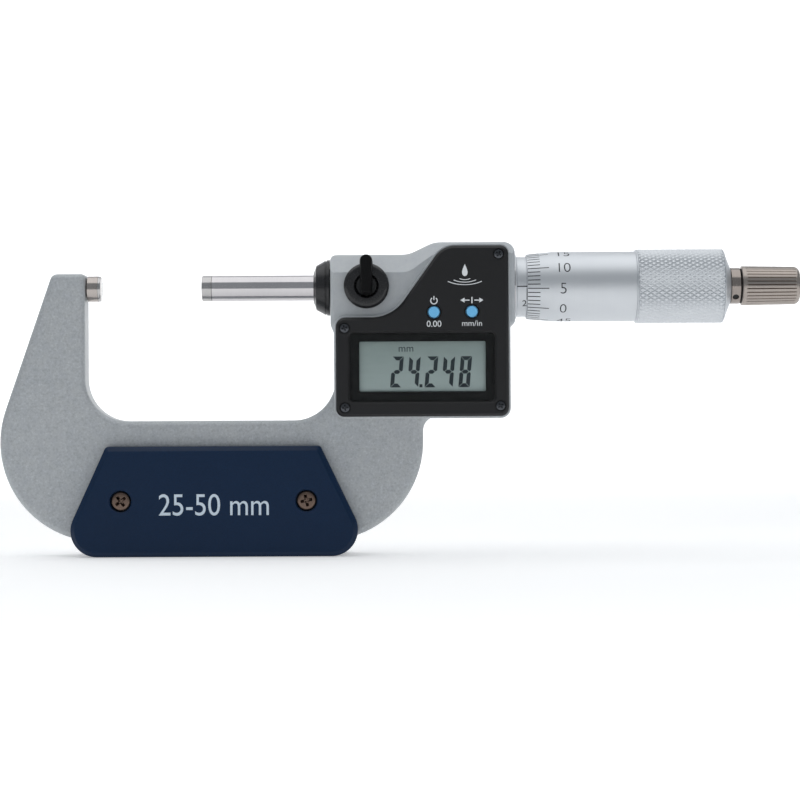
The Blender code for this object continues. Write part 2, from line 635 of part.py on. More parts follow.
def build_battery():
    centre = (CELL_CENTRE[0], 0.0, CELL_CENTRE[1])
    cell = [
        (CELL_Y[0], 0.0), (CELL_Y[0], 4.9), (CELL_Y[0] + 0.6, 4.9), (CELL_Y[0] + 0.6, CELL_R - 0.2),
        (CELL_Y[0] + 0.8, CELL_R), (CELL_Y[1] - 0.2, CELL_R), (CELL_Y[1], CELL_R - 0.2), (CELL_Y[1], 0.0),
    ]
    revolve("battery_cell", cell, MEDIUM, "cell_steel", "Y", centre)
    minus = [(-8.1, 0.0), (-8.1, 0.6), (0.75, 0.6), (0.75, 4.4), (1.05, 4.4), (1.05, 0.0)]
    revolve("battery_contact_minus", minus, COARSE, "brass_metal", "Y", centre)
    right = CELL_CENTRE[0] + CELL_R
    z = (CELL_CENTRE[1] - 1.2, CELL_CENTRE[1] + 1.2)
    box("battery_contact_plus", (right + 0.15, right + 0.4), (2.2, 6.6), z, "brass_metal")
    cover = [(7.05, 0.0), (7.05, 6.3), (7.65, 6.3), (7.65, 7.35), (8.45, 7.35), (8.6, 7.2), (8.6, 0.0)]
    lid = revolve("battery_cover", cover, FINE, "black_plastic", "Y", centre, (centre[0], 8.6, centre[2]))
    slot = (CELL_CENTRE[0] - 4.2, CELL_CENTRE[0] + 4.2)
    cut(lid, box("coin_slot_cut", slot, (7.9, 9.5), (CELL_CENTRE[1] - 0.7, CELL_CENTRE[1] + 0.7), None))
    ring = []
    for step in range(8):
        angle = 2.0 * math.pi * step / 8.0
        ring.append((7.3 + 0.26 * math.cos(angle), 6.9 + 0.26 * math.sin(angle)))
    revolve("battery_o_ring", ring, MEDIUM, "seal_rubber", "Y", centre, (centre[0], 8.6, centre[2]))


def build_all():
    clear_scene()
    build_frame()
    build_anvil()
    build_spindle()
    build_nose()
    build_lock()
    build_sleeve()
    build_thimble()
    build_ratchet()
    build_encoder()
    build_electronics()
    build_bezel()
    build_bezel_screws()
    build_grip_plate("grip_plate_front", -1.0)
    build_grip_plate("grip_plate_rear", 1.0)
    build_grip_screws()
    build_battery()


build_all()
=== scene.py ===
"""Looks for the 25-50 mm digital outside micrometer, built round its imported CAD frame.

Every length below is in millimetres in the row frame: +X along the spindle towards the
ratchet, +Z up, front facing -Y, origin on the anvil's measuring face. MM turns it into metres.
"""

import json
import math

import bmesh
import bpy
from mathutils import Matrix, Vector


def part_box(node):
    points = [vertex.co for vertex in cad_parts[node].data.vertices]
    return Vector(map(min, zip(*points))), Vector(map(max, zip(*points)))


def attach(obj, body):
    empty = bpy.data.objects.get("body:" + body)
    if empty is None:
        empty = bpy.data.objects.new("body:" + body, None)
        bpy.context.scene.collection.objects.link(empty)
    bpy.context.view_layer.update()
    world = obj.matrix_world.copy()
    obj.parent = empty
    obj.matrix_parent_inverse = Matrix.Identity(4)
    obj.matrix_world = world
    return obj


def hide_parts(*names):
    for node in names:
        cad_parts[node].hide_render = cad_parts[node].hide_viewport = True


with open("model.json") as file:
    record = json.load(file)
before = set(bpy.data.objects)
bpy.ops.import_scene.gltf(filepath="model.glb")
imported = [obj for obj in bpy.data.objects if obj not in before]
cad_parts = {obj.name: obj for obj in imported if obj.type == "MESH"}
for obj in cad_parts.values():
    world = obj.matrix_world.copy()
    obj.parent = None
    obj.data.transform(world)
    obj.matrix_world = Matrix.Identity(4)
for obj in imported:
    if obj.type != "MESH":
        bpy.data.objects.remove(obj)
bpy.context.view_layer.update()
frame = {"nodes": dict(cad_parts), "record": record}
MM = 0.001


def span(node):
    """A CAD node's box in millimetres, as ((x, x), (y, y), (z, z))."""
    low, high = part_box(node)
    return tuple((low[i] / MM, high[i] / MM) for i in range(3))


def middle_of(node):
    """A CAD node's middle in X and Z, in millimetres."""
    x, _, z = span(node)
    return (x[0] + x[1]) / 2.0, (z[0] + z[1]) / 2.0


# ---------------------------------------------------------------- driving sizes
SPINDLE_R = span("spindle_carbide_tip")[2][1]
GAP = span("spindle_carbide_tip")[0][0]
FRAME_BOX = span("frame")
THREAD_PITCH = 0.5
THIMBLE_X, THIMBLE_END_X = span("thimble")[0]
THIMBLE_LINES = 50
KNURL_R = 9.15
# The sleeve's long line lies this many degrees above the very front
DATUM_ANGLE = -1.5
THIMBLE_R = 8.65
THIMBLE_EDGE_R = 8.02
BEVEL_END_X = THIMBLE_X + 6.4
KNURL_X = (THIMBLE_X + 27.05, THIMBLE_X + 48.7)
SLEEVE_R = span("graduated_sleeve")[1][1]
SLEEVE_X = span("graduated_sleeve")[0]
BEZEL_BOX = span("bezel")
BEZEL_FRONT_Y, BEZEL_BACK_Y = BEZEL_BOX[1]
PRINT_Y = BEZEL_FRONT_Y - 0.015
BUTTONS = {name: middle_of(name) for name in ("power_set_button", "mode_units_button")}
BUTTON_FRONT_Y = span("power_set_button")[1][0]
BUTTON_R = 1.38
LOCK_X = sum(span("lock_lever")[0]) / 2.0
LOCK_R = 5.55
PLATE_FACE_Y = span("grip_plate_rear")[1][1]
PLATE_BOTTOM_Z, PLATE_TOP_Z = span("grip_plate_front")[2]
KNOB_X = (158.95, span("ratchet_knob")[0][1])
NECK_X = (156.25, 158.55)
NECK_R = 4.48
KNOB_R = 4.87
CELL_PLACE = middle_of("battery_cover")
HEAD_LEFT_X = 57.1
HEAD_RIGHT_X = 102.45
HEAD_TOP_Z = 7.85
HEAD_HUMP_TOP_Z = 10.8
HEAD_HALF = 9.3
# The sloping facet along the head's front upper edge
FACET_DEPTH = 3.2
FACET_HEIGHT = 4.6
WEB_HALF = 4.8
THROAT_X = (-3.7, 58.2)
THROAT_Z = -32.9
HOUSING_X = (58.4, 100.85)
HOUSING_BOTTOM_Z = -32.4
HOUSING_FRONT_Y = -11.4
HOUSING_BACK_Y = 8.5
WINDOW_X = (61.7, 97.3)
WINDOW_Z = (-28.45, -11.5)
GLASS_X = (64.2, 95.0)
GLASS_Z = (-25.9, -13.7)
DISPLAY_Y = -11.05
# How far print and engraving stand out of a surface, and how far they reach into it
PROUD = 0.012
SUNK = 0.04
INK_DEPTH = 0.05

# Facets round a full circle
FINE = 160
MEDIUM = 96
SMALL = 48

# Camera: where the lens stands, and how much of the object's plane it covers
CAMERA_PLACE = (74.07, -600.0, -27.97)
CAMERA_WIDTH = 199.04
CAMERA_ROLL = 0.3
SENSOR = 36.0


# ---------------------------------------------------------------- materials
def srgb(red, green, blue):
    """An 8-bit display colour as the linear colour that shaders use."""
    def linear(value):
        value /= 255.0
        return value / 12.92 if value <= 0.04045 else ((value + 0.055) / 1.055) ** 2.4
    return (linear(red), linear(green), linear(blue), 1.0)


def shaded(colour, factor):
    """A colour made lighter or darker."""
    return tuple(min(1.0, channel * factor) for channel in colour[:3]) + (1.0,)


def grey(level):
    return (level, level, level, 1.0)


class Nodes:
    """A short way to build one material's node tree."""

    def __init__(self, name):
        self.material = bpy.data.materials.new(name)
        self.material.use_nodes = True
        self.tree = self.material.node_tree
        self.shader = self.tree.nodes["Principled BSDF"]
        self.place = self.tree.nodes.new("ShaderNodeTexCoord").outputs["Object"]

    def put(self, target, value):
        """Sets a socket to a value, or links another node's output to it."""
        if isinstance(value, bpy.types.NodeSocket):
            self.tree.links.new(value, target)
        else:
            target.default_value = value

    def add(self, kind, inputs, **settings):
        """A node with its settings made and its inputs, by name or number, put in place."""
        node = self.tree.nodes.new(kind)
        for key, value in settings.items():
            setattr(node, key, value)
        for key, value in inputs.items():
            self.put(node.inputs[key], value)
        return node

    def noise(self, scale, detail=4.0, stretch=None, rough=0.55):
        place = self.place
        if stretch:
            place = self.add("ShaderNodeMapping", {"Vector": place, "Scale": stretch}).outputs["Vector"]
        inputs = {"Vector": place, "Scale": scale, "Detail": detail, "Roughness": rough}
        return self.add("ShaderNodeTexNoise", inputs).outputs["Fac"]

    def ramp(self, value, stops):
        """Colours along a value, as (position, colour) stops in rising order."""
        node = self.add("ShaderNodeValToRGB", {"Fac": value})
        elements = node.color_ramp.elements
        for index, (position, colour) in ((0, stops[0]), (1, stops[-1])):
            elements[index].position = position
            elements[index].color = colour
        for position, colour in stops[1:-1]:
            elements.new(position).color = colour
        return node.outputs["Color"]

    def map_range(self, value, source, target):
        inputs = {"Value": value, "From Min": source[0], "From Max": source[1],
                  "To Min": target[0], "To Max": target[1]}
        return self.add("ShaderNodeMapRange", inputs).outputs["Result"]

    def remap(self, value, low, high):
        """Spreads the middle of a noise, where most of it lies, from low to high."""
        return self.map_range(value, (0.3, 0.7), (low, high))

    def along(self, axis, low, high):
        """0 below low and 1 above high, in mm along one axis of the piece."""
        split = self.add("ShaderNodeSeparateXYZ", {0: self.place})
        return self.map_range(split.outputs[axis], (low * MM, high * MM), (0.0, 1.0))

    def multiply(self, first, second):
        return self.add("ShaderNodeMath", {0: first, 1: second}, operation="MULTIPLY").outputs[0]

    def mix(self, first, second, fac, blend="MIX"):
        inputs = {6: first, 7: second, 0: fac}
        return self.add("ShaderNodeMix", inputs, data_type="RGBA", blend_type=blend).outputs[2]

    def feed(self, socket, value):
        self.put(self.shader.inputs[socket], value)

    def bump(self, height, strength, distance):
        inputs = {"Strength": strength, "Distance": distance * MM, "Height": height}
        self.feed("Normal", self.add("ShaderNodeBump", inputs).outputs["Normal"])

    def set(self, **values):
        """Sets the shader's own sockets, named in lower case with underscores."""
        for key, value in values.items():
            self.feed(key.replace("_", " ").title().replace("Ior", "IOR"), value)


def grained(name, colour, metallic, rough, grain, contrast, bump, coat=0.0, specular=0.5):
    """A surface whose colour, roughness and relief all vary with fine noise.

    grain is the speck size in mm, contrast how far the colour swings, bump its relief in mm.
    """
    n = Nodes(name)
    fine = n.noise(1.0 / (grain * MM), 5.0)
    broad = n.noise(0.06 / MM, 2.0)
    specks = n.ramp(fine, [(0.28, shaded(colour, 1.0 - contrast)), (0.5, colour),
                           (0.74, shaded(colour, 1.0 + contrast))])
    clouds = n.ramp(broad, [(0.3, grey(0.93)), (0.7, grey(1.0))])
    n.feed("Base Color", n.mix(specks, clouds, 1.0, "MULTIPLY"))
    n.feed("Roughness", n.remap(fine, rough - 0.05, rough + 0.06))
    n.bump(fine, 1.0, bump)
    n.set(metallic=metallic, specular_ior_level=specular)
    if coat:
        n.set(coat_weight=coat, coat_roughness=0.18)
    return n.material


def turned(name, colour, rough, rings=0.09, contrast=0.08, anisotropic=0.35, relief=0.001):
    """Turned or ground metal: fine rings round the spindle axis, with a little staining."""
    n = Nodes(name)
    lines = n.noise(1.0 / (rings * MM), 2.0, (1.0, 0.004, 0.004))
    broad = n.noise(0.12 / MM, 2.0)
    tone = n.ramp(lines, [(0.3, shaded(colour, 1.0 - contrast)), (0.7, shaded(colour, 1.0 + contrast))])
    stain = n.ramp(broad, [(0.35, (0.965, 0.965, 0.97, 1.0)), (0.7, grey(1.0))])
    n.feed("Base Color", n.mix(tone, stain, 1.0, "MULTIPLY"))
    n.feed("Roughness", n.remap(lines, rough - 0.015, rough + 0.02))
    n.bump(lines, 0.3, relief)
    n.set(metallic=1.0, anisotropic=anisotropic)
    return n.material


def frame_paint():
    """Silver-grey structure paint: light and dark specks with a soft orange-peel relief."""
    n = Nodes("frame_paint")
    paint = srgb(188, 191, 193)
    fine = n.noise(1.0 / (0.5 * MM), 3.0, rough=0.6)
    coarse = n.noise(1.0 / (2.2 * MM), 3.0)
    broad = n.noise(0.05 / MM, 2.0)
    specks = n.ramp(fine, [(0.3, shaded(paint, 0.8)), (0.47, shaded(paint, 0.97)),
                           (0.57, paint), (0.75, shaded(paint, 1.22))])
    on_head = n.multiply(n.along("X", 54.0, 57.0), n.along("Z", -14.0, -11.0))
    smoother = n.multiply(on_head, 0.8)
    specks = n.mix(specks, shaded(paint, 1.12), smoother)
    mottle = n.ramp(coarse, [(0.3, (0.93, 0.935, 0.95, 1.0)), (0.7, (1.0, 1.0, 0.99, 1.0))])
    cloud = n.ramp(broad, [(0.3, (0.97, 0.98, 0.99, 1.0)), (0.7, grey(1.0))])
    colour = n.mix(n.mix(specks, mottle, 1.0, "MULTIPLY"), cloud, 1.0, "MULTIPLY")
    n.feed("Base Color", colour)
    n.feed("Roughness", n.mix(n.remap(fine, 0.34, 0.48), grey(0.27), smoother))
    n.bump(n.mix(n.mix(fine, coarse, 0.35), grey(0.5), smoother), 0.5, 0.04)
    n.set(metallic=0.2, coat_weight=0.06, coat_roughness=0.3, specular_ior_level=0.4)
    return n.material


def window_clear():
    """The clear pane over the display, with a faint haze of fine wiping marks."""
    n = Nodes("window_clear")
    marks = n.noise(1.0 / (0.8 * MM), 4.0, (0.25, 1.0, 1.0))
    n.feed("Base Color", n.ramp(marks, [(0.3, (0.93, 0.96, 0.95, 1.0)), (0.7, (0.98, 1.0, 0.99, 1.0))]))
    n.feed("Roughness", n.remap(marks, 0.015, 0.03))
    n.set(transmission_weight=1.0, ior=1.2)
    return n.material


def display_glass():
    """The display's grey-green reflective backing, slightly darker towards its top as painted shade."""
    n = Nodes("display_backing")
    # Painted shade: the backing's colour is ramped darker towards the display's top.
    tone = n.ramp(n.along("Z", *GLASS_Z), [(0.0, srgb(199, 212, 211)), (1.0, srgb(170, 184, 182))])
    grain = n.ramp(n.noise(1.0 / (0.12 * MM), 3.0), [(0.3, grey(0.95)), (0.7, grey(1.0))])
    n.feed("Base Color", n.mix(tone, grain, 1.0, "MULTIPLY"))
    n.feed("Roughness", n.remap(n.noise(1.0 / (0.5 * MM)), 0.35, 0.45))
    n.set(metallic=0.0)
    return n.material


# Machined metals: colour, roughness, then how far the turning rings show
METALS = {
    "satin_chrome": (srgb(217, 220, 223), 0.5, 0.16, 0.012, 0.2, 0.0006),
    "ground_steel": (srgb(206, 203, 204), 0.13, 0.05, 0.04, 0.2),
    # A darker, browner copy of the ground steel for the anvil: painted shade standing in for the dark
    # surroundings it reflects.
    "anvil_steel_painted_shade": (srgb(184, 176, 171), 0.2, 0.05, 0.06, 0.2),
    "carbide": (srgb(190, 188, 187), 0.2, 0.05, 0.05, 0.2),
    "ratchet_steel": (srgb(172, 163, 156), 0.3, 0.1, 0.07, 0.3),
    "neck_steel": (srgb(158, 149, 143), 0.2, 0.1, 0.07, 0.3),
    "screw_nickel": (srgb(114, 97, 87), 0.3, 0.06, 0.12, 0.1),
    "brass_metal": (srgb(205, 170, 95), 0.25),
    "cell_steel": (srgb(208, 208, 205), 0.14),
}
# Everything else: colour, metallic, roughness, speck size, contrast, relief, coat, specular level
PLAIN = {
    "black_plastic": (srgb(21, 21, 23), 0.0, 0.42, 0.16, 0.22, 0.004, 0.0, 0.38),
    "black_gloss": (srgb(27, 27, 29), 0.0, 0.24, 0.3, 0.15, 0.001),
    "window_mask": (srgb(4, 4, 5), 0.0, 0.5, 0.2, 0.2, 0.001, 0.0, 0.2),
    "navy_plastic": (srgb(2, 35, 66), 0.0, 0.4, 0.45, 0.12, 0.03, 0.0, 0.22),
    "button_blue": (srgb(120, 200, 250), 0.0, 0.3, 0.12, 0.04, 0.003),
    "display_ink": (srgb(36, 50, 58), 0.0, 0.5, 0.08, 0.1, 0.001),
    "seal_rubber": (srgb(30, 30, 30), 0.0, 0.7, 0.1, 0.2, 0.01),
    "screw_black": (srgb(84, 86, 90), 1.0, 0.26, 0.08, 0.12, 0.002),
    "board_green": (srgb(20, 84, 52), 0.0, 0.35, 0.4, 0.25, 0.01, 0.4),
    "flex_amber": (srgb(196, 122, 40), 0.0, 0.3, 0.3, 0.12, 0.003, 0.3),
    # A darker copy of the lever's black plastic for its fin: painted shade on the fin's face.
    "lever_black_painted_shade": (srgb(7, 7, 8), 0.0, 0.55, 0.3, 0.15, 0.002, 0.0, 0.15),
    "engraving": (srgb(34, 36, 40), 0.0, 0.6, 0.06, 0.2, 0.002),
    "plate_print": (srgb(212, 226, 238), 0.0, 0.5, 0.12, 0.05, 0.003),
    "bezel_print": (srgb(235, 238, 240), 0.0, 0.5, 0.1, 0.05, 0.002),
    # Near-black used as painted shade at the bottom of a hole and in a gap.
    "painted_shade_black": (srgb(14, 14, 15), 0.0, 0.6, 0.1, 0.2, 0.004),
}


def make_materials():
    made = {"frame_paint": frame_paint(), "window_clear": window_clear(), "display_glass": display_glass()}
    for name, looks in METALS.items():
        made[name] = turned(name, *looks)
    for name, looks in PLAIN.items():
        made[name] = grained(name, *looks)
    return made


SURFACE = make_materials()


# ---------------------------------------------------------------- mesh building
def new_object(name, mesh, kind):
    made = bpy.data.objects.new(name, mesh)
    bpy.context.scene.collection.objects.link(made)
    if kind:
        mesh.materials.append(SURFACE[kind])
    return made


def add_mesh(name, points, faces, kind):
    """A mesh object from points in millimetres, its faces turned outwards."""
    mesh = bpy.data.meshes.new(name)
    mesh.from_pydata([tuple(value * MM for value in p) for p in points], [], faces)
    work = bmesh.new()
    work.from_mesh(mesh)
    bmesh.ops.recalc_face_normals(work, faces=work.faces)
    work.to_mesh(mesh)
    work.free()
    return new_object(name, mesh, kind)


def smooth(made, angle=32.0, weighted=False):
    """Smooth shading that keeps every edge sharper than the angle."""
    made.data.shade_smooth()
    made.data.set_sharp_from_angle(angle=math.radians(angle))
    if weighted:
        change = made.modifiers.new("even_shading", "WEIGHTED_NORMAL")
        change.keep_sharp = True
    return made


def ride(made, body, slot=None, *nodes):
    """Ties a finished piece to its body and hides the CAD nodes it stands in for; its record slot is not
    used.
    """
    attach(made, body)
    if nodes:
        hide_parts(*nodes)
    return made


def combine(target, tools, operation):
    """Applies a Boolean with each tool, then removes the tools."""
    for tool in tools:
        change = target.modifiers.new("change", "BOOLEAN")
        change.operation = operation
        change.solver = "EXACT"
        change.object = tool
    bpy.context.view_layer.update()
    graph = bpy.context.evaluated_depsgraph_get()
    result = bpy.data.meshes.new_from_object(target.evaluated_get(graph))
    target.modifiers.clear()
    target.data = result
    for tool in tools:
        bpy.data.objects.remove(tool, do_unlink=True)
    return target


def cut(target, *tools):
    return combine(target, tools, "DIFFERENCE")


def join(target, *tools):
    return combine(target, tools, "UNION")


def keep_common(target, *tools):
    return combine(target, tools, "INTERSECT")


def ring_faces(rings, segments, closed=True):
    """Faces between rings of points; a ring of one point closes to a fan."""
    faces = []
    count = len(rings) if closed else len(rings) - 1
    for index in range(count):
        ring = rings[index]
        other = rings[(index + 1) % len(rings)]
        if len(ring) == 1 and len(other) == 1:
            continue
        for step in range(segments):
            after = (step + 1) % segments
            if len(ring) == 1:
                faces.append((ring[0], other[step], other[after]))
            elif len(other) == 1:
                faces.append((ring[step], other[0], ring[after]))
            else:
                faces.append((ring[step], other[step], other[after], ring[after]))
    return faces


def revolve(name, profile, segments, kind, upright=None, angle=32.0):
    """Turns a section about the spindle axis, or about an axis along Y at the upright (x, z).

    The section is (along, radius) points, or rounded_profile's corners.
    """
    if len(profile[0]) == 3:
        profile = rounded_profile(profile)
    points = []
    rings = []
    for along, radius in profile:
        ring = []
        for index in range(1 if radius == 0.0 else segments):
            turn = 2.0 * math.pi * index / segments
            across = radius * math.cos(turn)
            up = radius * math.sin(turn)
            ring.append(len(points))
            if upright:
                points.append((upright[0] + across, along, upright[1] + up))
            else:
                points.append((along, across, up))
        rings.append(ring)
    return smooth(add_mesh(name, points, ring_faces(rings, segments), kind), angle)


def rounded_profile(corners, steps=5):
    """A section's corners (along, radius, rounding) with each rounding drawn as an arc."""
    made = []
    count = len(corners)
    for index, (a, r, size) in enumerate(corners):
        if not size:
            made.append((a, r))
            continue
        before = Vector(corners[index - 1][:2]) - Vector((a, r))
        after = Vector(corners[(index + 1) % count][:2]) - Vector((a, r))
        start = Vector((a, r)) + before.normalized() * min(size, before.length * 0.49)
        end = Vector((a, r)) + after.normalized() * min(size, after.length * 0.49)
        for step in range(steps + 1):
            t = step / steps
            point = start * (1 - t) ** 2 + Vector((a, r)) * 2 * t * (1 - t) + end * t ** 2
            made.append((point[0], max(point[1], 0.0)))
    return made


def outline(corners, offset=0.0, facet=5.0):
    """Corners (x, z, radius), anticlockwise, as points; offset moves every edge outwards."""
    points = []
    count = len(corners)
    for index, (x, z, radius) in enumerate(corners):
        before = corners[index - 1]
        after = corners[(index + 1) % count]
        length = math.hypot(x - before[0], z - before[1])
        ux, uz = (x - before[0]) / length, (z - before[1]) / length
        length = math.hypot(after[0] - x, after[1] - z)
        vx, vz = (after[0] - x) / length, (after[1] - z) / length
        turn = math.atan2(ux * vz - uz * vx, ux * vx + uz * vz)
        scale = offset / (1.0 + ux * vx + uz * vz)
        px = x + scale * (uz + vz)
        pz = z - scale * (ux + vx)
        if radius == 0.0:
            points.append((px, pz))
            continue
        side = 1.0 if turn > 0.0 else -1.0
        bend = max(radius + side * offset, 0.05)
        back = bend * math.tan(abs(turn) / 2.0)
        cx = px - ux * back - side * uz * bend
        cz = pz - uz * back + side * ux * bend
        start = math.atan2(-side * ux, side * uz)
        steps = max(3, round(abs(math.degrees(turn)) / (facet if radius > 3.0 else 2.0 * facet)))
        for step in range(steps + 1):
            angle = start + turn * step / steps
            points.append((cx + bend * math.cos(angle), cz + bend * math.sin(angle)))
    return points


def add_tube(points, faces, rings):
    """Adds a solid through rings of (x, y, z) points, closed at both ends."""
    count = len(rings[0])
    numbers = []
    for ring in rings:
        numbers.append(list(range(len(points), len(points) + count)))
        points.extend(ring)
    faces.extend(ring_faces(numbers, count, False))
    faces.extend((tuple(numbers[0]), tuple(numbers[-1][::-1])))


def loft(name, rings, kind, axis="Y"):
    """A closed solid through rings (along, points) that all have the same number of points."""
    points = []
    faces = []
    add_tube(points, faces, [[(a, along, b) if axis == "Y" else (along, a, b) for a, b in ring]
                             for along, ring in rings])
    return add_mesh(name, points, faces, kind)


def layered(name, corners, levels, kind):
    """A solid of one outline, grown or shrunk at each of its (y, growth) levels."""
    return loft(name, [(y, outline(corners, grow)) for y, grow in levels], kind)


def plate(name, corners, low, high, kind, front=0.0, back=0.0, steps=5, facet=5.0):
    """A flat piece between two Y levels, its front and back edges rounded by the sizes given."""
    def edge(size, base, sign):
        made = []
        for step in range(steps + 1):
            angle = math.pi / 2.0 * step / steps
            inset = size * (1.0 - math.sin(angle))
            made.append((base + sign * size * (1.0 - math.cos(angle)), outline(corners, -inset, facet)))
        return made
    rings = edge(front, low, 1.0) if front else [(low, outline(corners, 0.0, facet))]
    tail = edge(back, high, -1.0) if back else [(high, outline(corners, 0.0, facet))]
    return loft(name, rings + tail[::-1], kind)


def box(name, x, y, z):
    """A plain block, used as a cutter."""
    corners = [(x[0], z[0]), (x[1], z[0]), (x[1], z[1]), (x[0], z[1])]
    return loft(name, [(y[0], corners), (y[1], corners)], None)


def rod(name, start, end, radius, segments, kind, upright=None):
    return revolve(name, [(start, 0.0), (start, radius), (end, radius), (end, 0.0)], segments, kind, upright)


def stepped(name, steps, segments, upright):
    """A cutter along Y through (y, radius) steps, each radius running on to the next y."""
    profile = [(steps[0][0], 0.0)]
    for (start, radius), (end, _) in zip(steps, steps[1:]):
        profile += [(start, radius), (end, radius)]
    profile.append((steps[-1][0], 0.0))
    return revolve(name, profile, segments, None, upright)


def rectangle(x, z, radius, grow=0.0):
    x0, x1 = x[0] - grow, x[1] + grow
    z0, z1 = z[0] - grow, z[1] + grow
    return [(x0, z0, radius), (x1, z0, radius), (x1, z1, radius), (x0, z1, radius)]


# ---------------------------------------------------------------- lettering and scales
def lettering(name, text, height, width=None, thin=0.0):
    """Text as a mesh centred on the origin in the XY plane, in millimetres, with no thickness yet."""
    curve = bpy.data.curves.new(name, "FONT")
    curve.body = text
    curve.resolution_u = 6
    curve.fill_mode = "FRONT"
    curve.offset = -thin
    holder = bpy.data.objects.new(name, curve)
    bpy.context.scene.collection.objects.link(holder)
    bpy.context.view_layer.update()
    mesh = bpy.data.meshes.new_from_object(holder.evaluated_get(bpy.context.evaluated_depsgraph_get()))
    bpy.data.objects.remove(holder, do_unlink=True)
    xs = [v.co.x for v in mesh.vertices]
    ys = [v.co.y for v in mesh.vertices]
    scale_y = height / (max(ys) - min(ys))
    scale_x = width / (max(xs) - min(xs)) if width else scale_y
    middle = ((max(xs) + min(xs)) / 2.0, (max(ys) + min(ys)) / 2.0)
    work = bmesh.new()
    work.from_mesh(mesh)
    for v in work.verts:
        v.co = ((v.co.x - middle[0]) * scale_x, (v.co.y - middle[1]) * scale_y, 0.0)
    bmesh.ops.remove_doubles(work, verts=work.verts, dist=1e-5)
    bmesh.ops.dissolve_limit(work, angle_limit=0.001, verts=work.verts, edges=work.edges)
    return work


def thicken(work, depth):
    """Gives a flat sheet in the XY plane a thickness, from z = -depth to z = 0."""
    found = bmesh.ops.extrude_face_region(work, geom=work.faces[:])
    for item in found["geom"]:
        if isinstance(item, bmesh.types.BMVert):
            item.co.z -= depth
    bmesh.ops.recalc_face_normals(work, faces=work.faces)


def finish_mesh(name, work, place, kind):
    for v in work.verts:
        v.co = Vector(place(v.co)) * MM
    bmesh.ops.recalc_face_normals(work, faces=work.faces)
    mesh = bpy.data.meshes.new(name)
    work.to_mesh(mesh)
    work.free()
    return new_object(name, mesh, kind)


def flat_print(name, work, x, z, y, kind, side=-1.0, depth=0.04):
    """Lays a flat sheet on a face looking along -Y (side -1) or +Y (side 1)."""
    thicken(work, depth)
    return finish_mesh(name, work, lambda p: (x - side * p.x, y + side * p.z, z + p.y), kind)


def on_round(x, radius, angle):
    """The point at x, and at an angle in radians from the front, on a round surface."""
    return (x, -radius * math.cos(angle), radius * math.sin(angle))


def round_print(name, work, x, angle, radius, kind):
    """Wraps a flat sheet round the spindle axis at an angle from the front, in degrees."""
    step = 0.3
    low = min(v.co.y for v in work.verts)
    high = max(v.co.y for v in work.verts)
    for index in range(1, int((high - low) / step) + 1):
        geometry = work.verts[:] + work.edges[:] + work.faces[:]
        level = (0.0, low + index * step, 0.0)
        bmesh.ops.bisect_plane(work, geom=geometry, plane_co=level, plane_no=(0.0, 1.0, 0.0))
    thicken(work, INK_DEPTH)
    start = math.radians(angle)
    return finish_mesh(name, work, lambda p: on_round(x + p.x, radius + p.z, start + p.y / radius), kind)


def polygon_sheet(shapes):
    """Flat polygons in the XY plane as one sheet."""
    work = bmesh.new()
    for shape in shapes:
        corners = [work.verts.new((a, b, 0.0)) for a, b in shape]
        work.faces.new(corners)
    return work


def line_section(half):
    """An engraved line's section, as (height over the surface, distance from its middle)."""
    return ((-SUNK, -half), (-SUNK, half), (PROUD, half), (PROUD, -half))


def scale_line(points, faces, stations, angle, width):
    """One line along X on a round surface, through (x, radius) stations."""
    rings = []
    for x, radius in stations:
        section = line_section(width / 2.0 / radius)
        rings.append([on_round(x, radius + out, math.radians(angle) + side) for out, side in section])
    add_tube(points, faces, rings)


def scale_arc(points, faces, x, radius, low, high, width):
    """One line round the axis at x, between two angles in degrees from the front."""
    steps = max(2, round(abs(high - low) / 3.0))
    rings = []
    for step in range(steps + 1):
        angle = math.radians(low + (high - low) * step / steps)
        rings.append([on_round(x + side, radius + out, angle) for out, side in line_section(width / 2.0)])
    add_tube(points, faces, rings)


# ---------------------------------------------------------------- frame casting
def bezel_corners():
    """The bezel's outline: low on the left, stepping up to the right."""
    (left, right), _, (low, high) = BEZEL_BOX
    step_z = -7.8
    return [
        (left, low, 2.0), (right, low, 2.0), (right, high, 2.0),
        (84.62, high, 5.8), (72.2, step_z, 9.7), (left, step_z, 2.3),
    ]


def cavity_corners(grow):
    """The opening behind the bezel, which steps up like the bezel."""
    low, high, left, right = -30.4 - grow, -4.2 + grow, 62.7 - grow, 96.5 + grow
    step_x, step_z = 77.0 - grow, -10.0 + grow
    return [
        (left, low, 0.0), (right, low, 0.0), (right, high, 0.0),
        (step_x, high, 0.0), (step_x, step_z, 0.0), (left, step_z, 0.0),
    ]


def head_corners():
    """The head's outline, with the hump over the sleeve's end on the right."""
    return [
        (HEAD_LEFT_X, HEAD_TOP_Z, 1.4), (HEAD_LEFT_X, -9.5, 2.0), (58.3, -12.5, 2.0), (58.3, -16.0, 0.0),
        (100.8, -16.0, 0.0), (100.8, -10.8, 0.6), (HEAD_RIGHT_X, -9.0, 1.2),
        (HEAD_RIGHT_X, HEAD_HUMP_TOP_Z, 2.9), (82.6, HEAD_HUMP_TOP_Z, 7.0), (76.3, HEAD_TOP_Z, 7.0),
    ]


